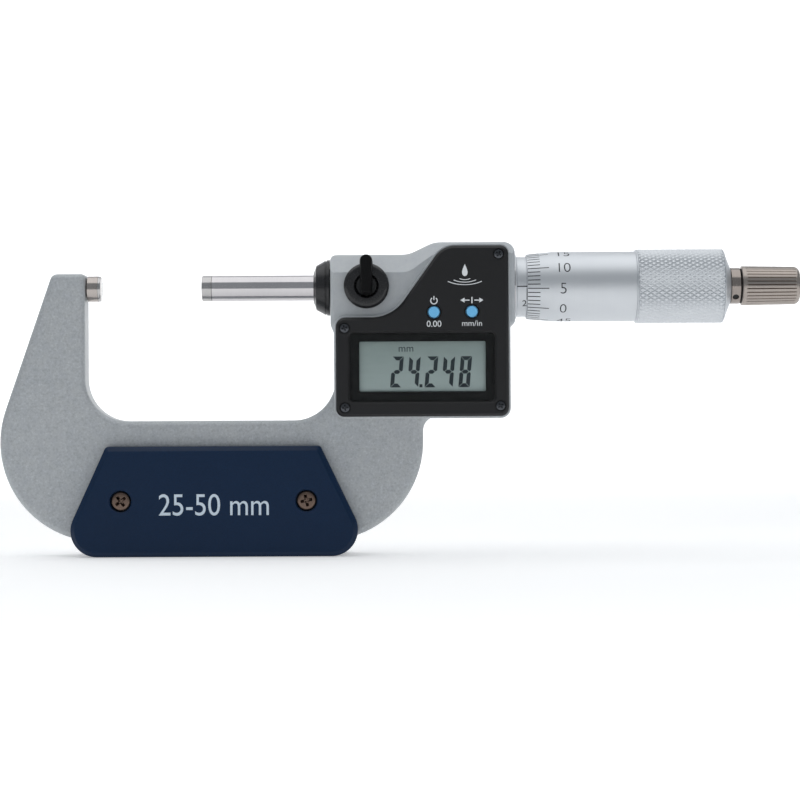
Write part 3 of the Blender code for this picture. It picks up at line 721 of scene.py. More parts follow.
def head_sweep():
    """Rounded cross-sections along X that follow the head's stepped top."""
    top = [p for p in outline(head_corners()) if p[1] > HEAD_TOP_Z - 0.05 and 70.0 < p[0] < 90.0]
    top.sort()
    stations = [(54.0, HEAD_TOP_Z)] + top + [(110.0, HEAD_HUMP_TOP_Z)]
    rings = []
    for x, z_top in stations:
        share = 1.0 - 0.35 * (z_top - HEAD_TOP_Z) / (HEAD_HUMP_TOP_Z - HEAD_TOP_Z)
        side = HEAD_HALF + 0.02
        top_z = z_top + 0.02
        corners = [
            (-side, -18.0, 0.0), (side, -18.0, 0.0), (side, top_z, 4.2),
            (FACET_DEPTH * share - side, top_z, 1.2), (-side, top_z - FACET_HEIGHT * share, 0.6),
        ]
        rings.append((x, outline(corners)))
    return loft("head_sweep", rings, None, "X")


def web_corners():
    """The C of the frame, from the anvil arm round the bow to the head."""
    left_wall, right_wall = THROAT_X
    bottom = FRAME_BOX[2][0]
    return [
        (left_wall, 3.6, 1.0), (-11.85, 3.6, 1.8), (-34.85, bottom, 24.6),
        (79.8, bottom, 24.6), (79.8, HOUSING_BOTTOM_Z, 3.3), (86.0, -32.0, 0.0), (86.0, -24.0, 0.0),
        (right_wall + 2.0, -18.0, 0.0), (right_wall, -18.0, 0.0),
        (right_wall, THROAT_Z, 10.5), (left_wall, THROAT_Z, 10.5),
    ]


def frame_holes():
    """Cutters for the bores, the display cavity, the battery and the screws."""
    front = HOUSING_FRONT_Y - 1.0
    ledge = outline(cavity_corners(0.8))
    cavity = outline(cavity_corners(0.0))
    cuts = [
        rod("chamber", 82.0, HEAD_RIGHT_X + 1.0, 8.3, FINE, None),
        rod("spindle_bore", 55.0, 82.5, 3.25, SMALL, None),
        rod("anvil_bore", -12.2, -3.0, 2.1, SMALL, None),
        rod("lock_bore", -11.0, -1.0, 2.47, FINE, None, (LOCK_X, 0.0)),
        loft("ledge", [(front, ledge), (-10.8, ledge)], None),
        loft("cavity", [(front, cavity), (-8.0, cavity)], None),
        box("deep_cavity", (64.0, 95.5), (-8.5, -2.4), (-30.0, -11.0)),
        box("flex_slot", (82.3, 86.3), (-5.2, -3.4), (-12.0, -6.0)),
        stepped("battery", [(-2.9, 1.5), (0.6, 6.55), (6.95, 7.55), (9.5, 0.0)], MEDIUM, CELL_PLACE),
    ]
    for index in (1, 2):
        place = middle_of(f"grip_screw_front_{index}")
        cuts.append(rod(f"plate_screw_{index}", -6.0, 6.0, 1.15, SMALL, None, place))
    for index in range(1, 5):
        place = middle_of(f"bezel_screw_{index}")
        cuts.append(rod(f"bezel_hole_{index}", -12.0, -8.6, 0.78, SMALL, None, place))
    return cuts


def build_frame():
    (left, right), low, high = HOUSING_X, HOUSING_BOTTOM_Z, -6.0
    housing = [(left, low, 2.5), (right, low, 3.5), (right, high, 0.0), (left, high, 0.0)]
    body = plate("frame_casting", web_corners(), -WEB_HALF, WEB_HALF, "frame_paint", 1.5, 1.5, 6, 4.0)
    head = plate("head", head_corners(), -HEAD_HALF, HEAD_HALF, None, 1.1, 2.2, 5)
    keep_common(head, head_sweep())
    room = plate("housing", housing, -9.0, HOUSING_BACK_Y, None, 0.0, 2.2, 6)
    front = HOUSING_FRONT_Y
    edge = ((front, 0.1), (front + 0.12, 0.36), (front + 0.4, 0.5), (-4.0, 0.5))
    rim = layered("rim", bezel_corners(), edge, None)
    join(body, head, room, rim)
    cut(body, *frame_holes())
    ride(smooth(body, 28.0, True), "frame", "frame_paint", "frame")


# ---------------------------------------------------------------- measuring parts
def build_anvil():
    root = -3.45
    body = [
        (-12.0, 0.0), (-12.0, 2.0), (root, 2.0), (root, SPINDLE_R - 0.25), (root + 0.15, SPINDLE_R),
        (-0.75, SPINDLE_R), (-0.75, 0.0),
    ]
    # The anvil takes a darker copy of the spindle's ground steel, as painted shade.
    ride(revolve("anvil_shank", body, MEDIUM, "anvil_steel_painted_shade"), "frame", "ground_steel", "anvil")
    tip = [
        (-0.7, 0.0), (-0.7, SPINDLE_R - 0.03), (-0.3, SPINDLE_R - 0.03), (-0.05, SPINDLE_R - 0.2),
        (0.0, SPINDLE_R - 0.32), (0.0, 0.0),
    ]
    ride(revolve("anvil_tip", tip, MEDIUM, "carbide"), "frame", "carbide", "anvil_carbide_tip")


def build_spindle():
    start = GAP + 2.45
    profile = [
        (start, 0.0), (start, SPINDLE_R - 0.06), (start + 0.06, SPINDLE_R), (104.0, SPINDLE_R),
        (104.5, 3.4), (147.6, 3.4), (148.0, 3.0), (155.9, 3.0), (155.9, 1.75), (146.5, 1.75), (146.5, 0.0),
    ]
    body = revolve("spindle_shaft", profile, MEDIUM, "ground_steel")
    cut(body, box("keyway", (60.5, 90.5), (-0.55, 0.55), (2.55, 4.0)))
    ride(smooth(body), "spindle_group", "ground_steel", "spindle")
    ride(spindle_thread(), "spindle_group", "ground_steel")
    tip = [
        (GAP, 0.0), (GAP, SPINDLE_R - 0.16), (GAP + 0.1, SPINDLE_R - 0.03), (GAP + 0.2, SPINDLE_R),
        (GAP + 2.36, SPINDLE_R), (GAP + 2.4, SPINDLE_R - 0.06), (GAP + 2.4, 0.0),
    ]
    ride(revolve("spindle_tip", tip, MEDIUM, "carbide"), "spindle_group", "carbide", "spindle_carbide_tip")


def spindle_thread():
    """The measuring thread as one helical ridge on the spindle's core."""
    start, end = 105.0, 147.4
    core, crest = 3.38, 3.6
    around = 40
    steps = round((end - start) / THREAD_PITCH * around)
    points = []
    faces = []
    rings = []
    for step in range(steps + 1):
        turn = 2.0 * math.pi * step / around
        middle = start + THREAD_PITCH * step / around
        fade = min(1.0, step / around, (steps - step) / around)
        top = core + (crest - core) * fade
        section = ((-0.2, core), (-0.04, top), (0.04, top), (0.2, core), (0.0, core - 0.1))
        rings.append([(middle + along, reach * math.cos(turn), reach * math.sin(turn))
                      for along, reach in section])
    add_tube(points, faces, rings)
    return smooth(add_mesh("spindle_thread", points, faces, "ground_steel"), 40.0)


def build_nose():
    section = [
        (54.4, 3.35, 0), (52.8, 3.35, 0), (52.8, 3.85, 0.08), (53.22, 4.75, 0.1), (53.42, 5.5, 0.12),
        (55.72, 6.78, 0.08), (55.8, 6.55, 0), (55.98, 6.55, 0), (56.06, 6.9, 0.05), (56.82, 6.93, 0.1),
        (56.82, 4.75, 0), (54.4, 4.75, 0),
    ]
    cap = revolve("nose_cone", section, FINE, "black_gloss")
    ride(cap, "frame", "black_plastic", "nose_cap")


# ---------------------------------------------------------------- lock lever
def build_lock():
    section = [
        (-5.8, 0.0, 0), (-5.8, 2.3, 0), (-9.5, 2.3, 0), (-9.5, LOCK_R, 0.1), (-11.3, LOCK_R, 0.3),
        (-12.0, 4.9, 0.4), (-12.1, 2.9, 0.3), (-10.9, 2.55, 0.15), (-10.9, 0.0, 0),
    ]
    lever = revolve("lever_disc", section, MEDIUM, "black_gloss", (LOCK_X, 0.0))
    fin = []
    for y, half, low, high in (
        (-10.0, 1.75, -2.4, 5.2), (-11.5, 1.73, -2.35, 5.9), (-13.6, 1.68, -2.25, 6.9),
        (-15.2, 1.6, -2.1, 7.4), (-15.8, 1.35, -1.9, 7.3), (-16.0, 0.95, -1.6, 7.0),
    ):
        shape = [(LOCK_X + half * 0.7, low, 0.35), (LOCK_X + half, high, half * 0.9),
                 (LOCK_X - half, high, half * 0.9), (LOCK_X - half * 0.7, low, 0.35)]
        fin.append((y, outline(shape)))
    ride(smooth(lever, 38.0, True), "lock_lever", "black_plastic", "lock_lever")
    # The fin takes a darker copy of the lever's black plastic, as painted shade.
    ride(smooth(loft("lever_fin", fin, "lever_black_painted_shade"), 38.0, True), "lock_lever", "black_plastic")


# ---------------------------------------------------------------- sleeve and thimble
def build_sleeve():
    x0, x1 = SLEEVE_X
    section = [(x0, 6.98, 0), (x0, SLEEVE_R, 0.12), (x1, SLEEVE_R, 0.15), (x1, 6.98, 0)]
    sleeve = revolve("scale_sleeve", section, FINE, "satin_chrome")
    ride(sleeve, "frame", "satin_chrome", "graduated_sleeve")
    collar = [(102.62, 6.4, 0), (102.62, 8.1, 0.08), (102.95, 8.0, 0.08), (102.95, 6.4, 0)]
    ride(revolve("sleeve_seat", collar, FINE, "satin_chrome"), "frame", "satin_chrome")
    points = []
    faces = []
    first = THIMBLE_X - 0.055
    scale_line(points, faces, [(x0 + 0.03, SLEEVE_R), (first + 25.6, SLEEVE_R)], DATUM_ANGLE, 0.27)
    for index in range(51):
        x = first + index * THREAD_PITCH
        if index % 2:
            scale_arc(points, faces, x, SLEEVE_R, DATUM_ANGLE + 3.0, DATUM_ANGLE + 13.0, 0.16)
        else:
            reach = -26.0 if index % 10 == 0 else -17.0
            scale_arc(points, faces, x, SLEEVE_R, DATUM_ANGLE - 3.5, DATUM_ANGLE + reach, 0.2)
    marks = add_mesh("sleeve_scale", points, faces, "engraving")
    ride(marks, "frame")
    for index in range(6):
        work = lettering("digits", str(25 + 5 * index), 1.75)
        made = round_print(f"sleeve_number_{25 + 5 * index}", work, first + 5.0 * index, DATUM_ANGLE - 34.0,
                           SLEEVE_R + PROUD, "engraving")
        ride(made, "frame")


def thimble_radius(x):
    """The thimble's radius at x, on its graduated bevel or behind it."""
    if x < BEVEL_END_X:
        share = (x - THIMBLE_X - 0.12) / (BEVEL_END_X - THIMBLE_X - 0.12)
        return THIMBLE_EDGE_R + (THIMBLE_R - THIMBLE_EDGE_R) * max(share, 0.0)
    return THIMBLE_R


def build_thimble():
    bore, end = 7.62, THIMBLE_END_X
    k0, k1 = KNURL_X
    margin = 0.3
    left = [
        (end, 3.15, 0), (150.6, 3.15, 0), (150.6, bore, 0), (THIMBLE_X, bore, 0), (THIMBLE_X, 7.95, 0.05),
        (THIMBLE_X + 0.12, THIMBLE_EDGE_R, 0), (BEVEL_END_X, THIMBLE_R, 0.4), (k0 - 0.05, THIMBLE_R, 0),
        (k0 + 0.1, KNURL_R - 0.04, 0.05), (k0 + margin, KNURL_R, 0),
    ]
    right = [
        (k1 - margin + 0.2, KNURL_R, 0), (k1 + 0.05, KNURL_R - 0.05, 0.15), (k1 + 0.35, 8.6, 0.15),
        (k1 + 0.5, 7.95, 0), (k1 + 0.56, 7.85, 0), (end, 4.6, 0.2),
    ]
    body = knurled_tube(rounded_profile(left), rounded_profile(right),
                        (k0 + margin, k1 - margin + 0.2), KNURL_R, 46, 1.9, 0.17)
    ride(smooth(body, 22.0), "spindle_group", "satin_chrome", "thimble")
    points = []
    faces = []
    pitch_angle = 360.0 / THIMBLE_LINES
    reading = 5.5 * pitch_angle
    for index in range(THIMBLE_LINES):
        length = 5.2 if index % 5 == 0 else 3.05
        stops = [THIMBLE_X + 0.15 + length * share for share in (0, 0.5, 1)]
        stations = [(x, thimble_radius(x)) for x in stops]
        scale_line(points, faces, stations, DATUM_ANGLE - reading + index * pitch_angle, 0.22)
    ride(add_mesh("thimble_scale", points, faces, "engraving"), "spindle_group")
    for index in range(10):
        work = lettering("digits", str(5 * index), 2.65, thin=0.012)
        x = THIMBLE_X + (9.2 if index > 1 else 8.85)
        angle = DATUM_ANGLE - reading + 5 * index * pitch_angle
        made = round_print(f"thimble_number_{5 * index}", work, x, angle,
                           THIMBLE_R + PROUD, "engraving")
        ride(made, "spindle_group")


def knurled_tube(left, right, zone, radius, count, cell, depth):
    """A turned body with a diamond knurl of flat-topped pyramids between its left and right profiles.

    count cells go round it, each cell long and depth deep.
    """
    rows = round((zone[1] - zone[0]) / cell) * 2
    pitch = (zone[1] - zone[0]) / rows
    low_r = radius - depth
    top_share = 0.4
    points = []
    faces = []

    def ring(x, reach, shift, split=1):
        """Points round the axis, split times as many as there are cells."""
        first = len(points)
        for step in range(split * count):
            turn = 2.0 * math.pi * (step / split + shift) / count
            points.append((x, reach * math.cos(turn), reach * math.sin(turn)))
        return list(range(first, len(points)))
    nodes = [ring(zone[0] + row * pitch, low_r, 0.5 * (row % 2)) for row in range(rows + 1)]

    def cell_face(corners):
        """Four or three low corners with a smaller raised face inside them."""
        centre = [sum(points[c][i] for c in corners) / len(corners) for i in range(3)]
        raised = []
        for corner in corners:
            px, py, pz = (c + (p - c) * top_share for c, p in zip(centre, points[corner]))
            stretch = radius / math.hypot(py, pz)
            points.append((px, py * stretch, pz * stretch))
            raised.append(len(points) - 1)
        total = len(corners)
        for step in range(total):
            after = (step + 1) % total
            faces.append((corners[step], corners[after], raised[after], raised[step]))
        faces.append(tuple(raised))

    for row in range(rows - 1):
        for step in range(count):
            above = step if row % 2 == 0 else (step + 1) % count
            below = (above - 1) % count
            beside = nodes[row + 1]
            cell_face((nodes[row][step], beside[below], nodes[row + 2][step], beside[above]))
    for edge, inner in ((0, 1), (rows, rows - 1)):
        for step in range(count):
            after = (step + 1) % count
            tip = nodes[inner][step if edge % 2 == 0 else after]
            cell_face((nodes[edge][step], tip, nodes[edge][after]))

    def bridge(coarse, dense):
        """Joins a ring of count points to one with three times as many."""
        for step in range(count):
            after = (step + 1) % count
            d = [dense[(3 * step + k) % (3 * count)] for k in range(4)]
            faces.append((coarse[step], d[0], d[1]))
            faces.append((coarse[step], d[1], d[2], coarse[after]))
            faces.append((coarse[after], d[2], d[3]))

    left_rings = [ring(x, reach, 0.0, 3) for x, reach in left]
    right_rings = [ring(x, reach, 0.5 * (rows % 2), 3) for x, reach in right]
    bridge(nodes[0], left_rings[-1])
    bridge(nodes[rows], right_rings[0])
    for rings in (left_rings, right_rings, [right_rings[-1], left_rings[0]]):
        faces += ring_faces(rings, 3 * count, False)
    return add_mesh("thimble_body", points, faces, "satin_chrome")


# ---------------------------------------------------------------- ratchet stop
def build_ratchet():
    x0, x1 = NECK_X
    section = [
        (147.2, 0.0, 0), (147.2, 1.6, 0), (x0, 1.6, 0), (x0, NECK_R, 0.1), (x1, NECK_R, 0.15),
        (x1, 1.95, 0), (170.2, 1.95, 0), (170.2, 0.9, 0), (165.0, 0.9, 0), (165.0, 0.0, 0),
    ]
    neck = revolve("neck_collar", section, MEDIUM, "neck_steel")
    hole = rod("hole", -6.0, -2.6, 0.785, SMALL, None, (0.0, 0.0))
    hole_x, hole_angle = 157.3, 41.0
    hole_place = Matrix.Translation((hole_x * MM, 0, 0)) @ Matrix.Rotation(math.radians(hole_angle), 4, "X")
    hole.matrix_world = hole_place
    cut(neck, hole)
    ride(smooth(neck, 30.0), "spindle_group", "ratchet_steel", "ratchet_neck")
    # A dark disc down the spanner hole: painted shadow at the hole's bottom.
    floor = rod("spanner_hole_painted_shadow", -4.2, -3.9, 0.78, SMALL, "painted_shade_black", (0.0, 0.0))
    floor.matrix_world = hole_place
    ride(floor, "spindle_group")
    # A dark ring in the gap before the knob: painted shade where the gap is in shadow.
    gap_shade = [(158.8, 3.3, 0), (158.8, 4.3, 0.05), (159.3, 4.3, 0.05), (159.3, 3.3, 0)]
    ride(revolve("knob_gap_painted_shade", gap_shade, MEDIUM, "painted_shade_black"), "ratchet")
    ride(fluted_knob(), "ratchet", "ratchet_steel", "ratchet_knob")
    screw = [
        (165.4, 0.0, 0), (165.4, 0.75, 0), (170.3, 0.75, 0), (170.3, 1.2, 0), (172.45, 1.2, 0),
        (172.45, 2.25, 0.1), (173.2, 2.1, 0.3), (173.2, 0.0, 0),
    ]
    end = revolve("end_screw", screw, SMALL, "screw_black")
    cut(end, box("slot", (172.8, 174.0), (-3.0, 3.0), (-0.3, 0.3)))
    ride(smooth(end, 30.0), "spindle_group", "screw_black", "ratchet_end_screw")


def fluted_knob():
    """The ratchet knob: plain rims and 32 narrow V flutes between flat lands."""
    flutes = 32
    deep = 0.3
    x0, x1 = KNOB_X
    outer = [
        (x0, 3.05, 0), (x0, 4.6, 0), (x0 + 0.08, 4.76, 0), (x0 + 0.25, KNOB_R, 0), (x0 + 0.85, KNOB_R, 0),
        (x0 + 1.0, KNOB_R, 0), (x0 + 1.25, KNOB_R - 0.01, deep), (x1 - 1.35, 4.66, deep),
        (x1 - 1.1, 4.63, 0), (x1 - 0.9, 4.58, 0), (x1 - 0.55, 4.4, 0), (x1 - 0.25, 4.1, 0),
        (x1 - 0.06, 3.7, 0), (x1, 3.3, 0), (x1, 2.55, 0), (x1 - 0.1, 2.45, 0), (x1 - 1.1, 2.45, 0),
        (x1 - 1.1, 1.4, 0), (x1 - 2.8, 1.4, 0), (x1 - 2.8, 3.05, 0),
    ]
    offsets = (0.0, 0.16, 0.32, 0.5, 0.68, 0.84)
    points = []
    rings = []
    for x, reach, depth in outer:
        ring = []
        for flute in range(flutes):
            for offset in offsets:
                turn = 2.0 * math.pi * (flute + offset) / flutes
                r = reach if offset else reach - depth
                ring.append(len(points))
                points.append((x, r * math.cos(turn), r * math.sin(turn)))
        rings.append(ring)
    faces = ring_faces(rings, flutes * len(offsets))
    return smooth(add_mesh("knob_body", points, faces, "ratchet_steel"), 26.0)


# ---------------------------------------------------------------- display unit
def build_bezel():
    front = BEZEL_FRONT_Y
    rim = ((front, -0.7), (front + 0.05, -0.6), (front + 0.6, -0.06), (front + 0.72, 0.0),
           (BEZEL_BACK_Y, 0.0))
    body = layered("bezel_shell", bezel_corners(), rim, "black_plastic")
    recess = outline(rectangle(WINDOW_X, WINDOW_Z, 1.2))
    wide = outline(rectangle(WINDOW_X, WINDOW_Z, 1.5, 0.35))
    steps = [(-14.0, wide), (front, wide), (front + 0.35, recess), (-11.85, recess)]
    cut(body, loft("window_recess", steps, None))
    cut(body, box("window_opening", (63.2, 95.8), (-12.5, -10.5), (-27.4, -12.4)))
    holes = []
    for index, place in enumerate(BUTTONS.values()):
        holes.append(stepped(f"button_{index}", [(-14.0, 1.9), (-12.0, 1.6), (-10.5, 0.0)], SMALL, place))
    for index in range(1, 5):
        place = middle_of(f"bezel_screw_{index}")
        holes.append(stepped(f"screw_{index}", [(-14.0, 1.38), (-12.4, 0.8), (-10.5, 0.0)], SMALL, place))
    cut(body, *holes)
    ride(smooth(body, 28.0, True), "frame", "black_plastic", "bezel")
    build_window()


def build_window():
    """The clear pane, and the black border printed behind it."""
    pane = rectangle(WINDOW_X, WINDOW_Z, 1.0, -0.2)
    window = plate("window_pane", pane, -12.25, -11.95, "window_clear", 0.06, 0.0, 2)
    ride(smooth(window, 30.0, True), "frame", "window_clear", "display_window")
    border = rectangle(WINDOW_X, WINDOW_Z, 1.0, -0.25)
    mask = plate("window_border", border, -11.93, -11.87, "window_mask")
    cut(mask, plate("opening", rectangle(GLASS_X, GLASS_Z, 0.35), -13.0, -10.0, None))
    ride(mask, "frame", "black_plastic")


def build_display():
    face = rectangle((64.0, 95.2), (-26.7, -12.9), 0.3)
    panel = plate("display_panel", face, DISPLAY_Y, -9.95, "display_glass", 0.05, 0.0, 2)
    ride(panel, "frame", "display_glass", "lcd_glass")
    pitch, base = 4.13, -24.9
    before_point, after_point = 71.66, 80.07
    left_edges = [before_point + pitch * step for step in range(2)]
    left_edges += [after_point + pitch * step for step in range(3)]
    shapes = []
    for left, digit in zip(left_edges, "24248"):
        shapes += digit_shapes(left, base, LIT_BARS[digit])
    dot_x, dot = 79.2, 0.38
    left, right = dot_x - dot, dot_x + dot
    shapes.append([(left, base), (right, base), (right, base + 2 * dot), (left, base + 2 * dot)])
    ink = ("display_ink", -1.0, 0.03)
    ride(flat_print("display_digits", polygon_sheet(shapes), 0.0, 0.0, DISPLAY_Y - 0.05, *ink), "frame")
    unit = lettering("unit", "mm", 1.15)
    ride(flat_print("display_unit", unit, 75.6, -15.6, DISPLAY_Y - 0.05, *ink), "frame")


# The bars that are lit for each figure: a top, b and c right, d bottom, e and f left, g middle
LIT_BARS = {"2": "abged", "4": "fgbc", "8": "abcdefg"}


def digit_shapes(left, base, lit):
    """The lit bars of one seven-bar figure, leaning to the right."""
    x1, y1, t, gap = 2.75, 7.55, 0.95, 0.07
    slant = math.tan(math.radians(5.0))
    ym = y1 / 2.0
    inner, outer = t + gap, t * 0.5 + gap

    def upright(x, side, foot, end):
        """A bar at the figure's left (side 1) or right (side -1), from its middle to an end."""
        up = 1.0 if end > foot else -1.0
        return [(x, end - up * gap), (x + side * t, end - up * inner), (x + side * t, foot + up * outer),
                (x + side * t * 0.4, foot + up * gap), (x, foot + up * t * 0.4)]
    bars = {
        "a": [(gap, y1), (x1 - gap, y1), (x1 - inner, y1 - t), (inner, y1 - t)],
        "d": [(gap, 0.0), (inner, t), (x1 - inner, t), (x1 - gap, 0.0)],
        "g": [(t * 0.55, ym), (inner, ym + t / 2), (x1 - inner, ym + t / 2),
              (x1 - t * 0.55, ym), (x1 - inner, ym - t / 2), (inner, ym - t / 2)],
        "f": upright(0.0, 1.0, ym, y1),
        "b": upright(x1, -1.0, ym, y1),
        "e": upright(0.0, 1.0, ym, 0.0),
        "c": upright(x1, -1.0, ym, 0.0),
    }
    return [[(left + a + b * slant, base + b) for a, b in bars[key]] for key in lit]


def ring_sheet(inner, outer, start, end, steps=28):
    """Part of a flat ring in the XY plane, between two angles in degrees."""
    shapes = []
    for step in range(steps):
        a = math.radians(start + (end - start) * step / steps)
        b = math.radians(start + (end - start) * (step + 1) / steps)
        corners = ((inner, a), (outer, a), (outer, b), (inner, b))
        shapes.append([(reach * math.cos(turn), reach * math.sin(turn)) for reach, turn in corners])
    return shapes


def joined_sheet(shapes):
    """Flat polygons as one sheet, welded where they meet."""
    work = polygon_sheet(shapes)
    bmesh.ops.remove_doubles(work, verts=work.verts, dist=1e-5)
    return work


def bezel_mark(name, work, x, z):
    ride(flat_print(name, work, x, z, PRINT_Y, "bezel_print"), "frame")


def build_buttons():
    front = BUTTON_FRONT_Y
    section = [
        (-10.5, 0.0, 0), (-10.5, 1.95, 0.05), (-11.2, 1.95, 0.05), (-11.2, BUTTON_R, 0),
        (front + 0.02, BUTTON_R, 0.22), (front, 1.0, 0.3), (front + 0.03, 0.0, 0),
    ]
    for name, place in BUTTONS.items():
        cap = revolve(name + "_cap", section, SMALL, "button_blue", place, 50.0)
        ride(cap, name, "button_blue", name)
    build_bezel_marks()


def build_bezel_marks():
    """Plain symbols above and below the buttons, and a water drop."""
    above, below = 2.75, -2.85
    x, z = BUTTONS["power_set_button"]
    power = ring_sheet(0.66, 0.92, 125.0, 415.0)
    power.append([(-0.13, 0.15), (0.13, 0.15), (0.13, 1.12), (-0.13, 1.12)])
    bezel_mark("mark_power", joined_sheet(power), x, z + above)
    bezel_mark("mark_zero", lettering("zero", "0.00", 1.5), x, z + below)
    x, z = BUTTONS["mode_units_button"]
    arrows = [
        [(-2.8, 0.0), (-1.8, -0.6), (-1.8, 0.6)], [(2.8, 0.0), (1.8, 0.6), (1.8, -0.6)],
        [(-1.85, -0.13), (-0.6, -0.13), (-0.6, 0.13), (-1.85, 0.13)],
        [(0.6, -0.13), (1.85, -0.13), (1.85, 0.13), (0.6, 0.13)],
        [(-0.14, -0.78), (0.14, -0.78), (0.14, 0.78), (-0.14, 0.78)],
    ]
    bezel_mark("mark_mode", polygon_sheet(arrows), x, z + above)
    bezel_mark("mark_units", lettering("units", "mm/in", 1.4), x, z + below)
    bezel_mark("mark_drop", drop_sheet(), 90.0, 3.0)


def drop_sheet():
    """A water drop over three wide ripples."""
    drop = []
    for step in range(24):
        t = 2.0 * math.pi * step / 24.0
        drop.append((-0.95 * math.sin(t) * math.sin(t / 2.0) ** 1.4, 0.6 + 1.5 * math.cos(t)))
    shapes = [drop]
    for index, reach in enumerate((2.0, 4.2, 6.4)):
        arc = ring_sheet(reach - 0.16, reach + 0.16, 230.0, 310.0, 16)
        sunk = 0.55 * reach - 1.75 - 0.62 * index
        shapes += [[(a, 0.55 * b + sunk) for a, b in quad] for quad in arc]
    return joined_sheet(shapes)


# ---------------------------------------------------------------- screws
def cross_cutter(place, front, depth, arm, width, twist):
    """A cross recess that narrows towards its bottom."""
    turn = Matrix.Rotation(math.radians(twist), 2)

    def ring(share):
        a, h = arm * share, width / 2.0 * share
        quarter = [(-a, -h), (-h, -h), (-h, -a)]
        points = []
        for _ in range(4):
            points += [turn @ Vector(p) for p in quarter]
            quarter = [(-q, p) for p, q in quarter]
        return [(place[0] + p[0], place[1] + p[1]) for p in points]
    side = 1.0 if depth > 0 else -1.0
    rings = [(front - side * 0.5, ring(1.0)), (front, ring(1.0)), (front + depth, ring(0.45))]
    return loft("cross", rings, None)


def bezel_screw(index, twist):
    place = middle_of(f"bezel_screw_{index}")
    section = [
        (-9.0, 0.0, 0), (-9.0, 0.65, 0), (-12.45, 0.65, 0), (-12.45, 1.18, 0.05), (-12.9, 1.18, 0.12),
        (-13.05, 0.7, 0.3), (-13.1, 0.0, 0),
    ]
    name = f"bezel_fastener_{index}"
    made = revolve(name, section, SMALL, "screw_black", place)
    cut(made, cross_cutter(place, -13.12, 0.6, 0.78, 0.34, twist))
    ride(smooth(made, 30.0), "frame", "screw_black", f"bezel_screw_{index}")


def plate_screw(label, side, index, twist):
    place = middle_of(f"grip_screw_{label}_{index}")
    section = [
        (side * 1.2, 0.0, 0), (side * 1.2, 1.0, 0), (side * 6.7, 1.0, 0), (side * 6.7, 2.27, 0.05),
        (side * 8.35, 2.27, 0.12), (side * 8.55, 1.85, 0.3), (side * 8.6, 0.0, 0),
    ]
    name = f"plate_fastener_{label}_{index}"
    made = revolve(name, section, MEDIUM, "screw_nickel", place)
    cut(made, cross_cutter(place, side * 8.62, -side * 1.3, 1.5, 0.75, twist))
    ride(smooth(made, 30.0), "frame", "screw_nickel", f"grip_screw_{label}_{index}")


def build_screws():
    for index, twist in enumerate((20.0, 8.0, 35.0, 55.0), 1):
        bezel_screw(index, twist)
    for label, side, twists in (("front", -1.0, (38.0, 12.0)), ("rear", 1.0, (70.0, 25.0))):
        for index, twist in enumerate(twists, 1):
            plate_screw(label, side, index, twist)


# ---------------------------------------------------------------- grip plates
def plate_corners():
    return [
        (1.7, PLATE_TOP_Z, 1.0), (-10.7, PLATE_BOTTOM_Z, 6.5),
        (67.4, PLATE_BOTTOM_Z, 6.5), (54.4, PLATE_TOP_Z, 1.0),
    ]


def foot_corners():
    """The strip at each plate's bottom that reaches in under the frame."""
    return [
        (-2.9, -63.05, 0.0), (-2.7, -64.9, 0.0), (1.2, PLATE_BOTTOM_Z, 3.0),
        (56.6, PLATE_BOTTOM_Z, 3.0), (60.0, -64.9, 0.0), (59.6, -63.05, 0.0),
    ]


def grip_plate(label, side):
    """One plate with its bevelled rim, its foot and two countersunk holes."""
    face = PLATE_FACE_Y
    rim = ((face, -1.35), (face - 0.06, -1.15), (face - 1.0, -0.14), (face - 1.25, -0.03),
           (face - 1.5, 0.0), (5.2, 0.0), (5.05, -0.15))
    foot = ((0.15, -0.12), (0.28, 0.0), (6.0, 0.0))
    rim, foot = ([(side * y, grow) for y, grow in levels] for levels in (rim, foot))
    body = layered(f"grip_{label}", plate_corners(), rim, "navy_plastic")
    join(body, layered("foot", foot_corners(), foot, None))
    holes = []
    for index in (1, 2):
        hole = ((10.0, 0.0), (10.0, 2.85), (face, 2.85), (face - 0.2, 2.65), (6.6, 2.65), (6.6, 1.25),
                (4.0, 1.25), (4.0, 0.0))
        profile = [(side * y, radius) for y, radius in hole]
        place = middle_of(f"grip_screw_{label}_{index}")
        holes.append(revolve(f"hole_{index}", profile, MEDIUM, None, place))
    cut(body, *holes)
    ride(smooth(body, 24.0, True), "frame", "navy_plastic", f"grip_plate_{label}")


def build_grip_plates():
    grip_plate("front", -1.0)
    grip_plate("rear", 1.0)
    text = lettering("range", "25-50 mm", 5.3, 27.0)
    print_y = -PLATE_FACE_Y - 0.02
    ride(flat_print("plate_marking", text, 28.3, -53.4, print_y, "plate_print", -1.0, 0.06), "frame")


# ---------------------------------------------------------------- battery cover
def build_battery_cover():
    x, z = CELL_PLACE
    section = [
        (7.05, 0.0, 0), (7.05, 6.3, 0), (7.65, 6.3, 0), (7.65, 7.35, 0.05), (8.6, 7.35, 0.25),
        (8.6, 6.3, 0.06), (8.45, 6.2, 0.06), (8.45, 5.9, 0.06), (8.6, 5.8, 0.06), (8.6, 0.0, 0),
    ]
    lid = revolve("cover_disc", rounded_profile(section, 3), FINE, "black_plastic", CELL_PLACE)
    slot = rectangle((x - 4.2, x + 4.2), (z - 0.75, z + 0.75), 0.7)
    cut(lid, plate("coin_slot", slot, 7.9, 9.5, None))
    ride(smooth(lid, 30.0), "battery_cover", "black_plastic", "battery_cover")


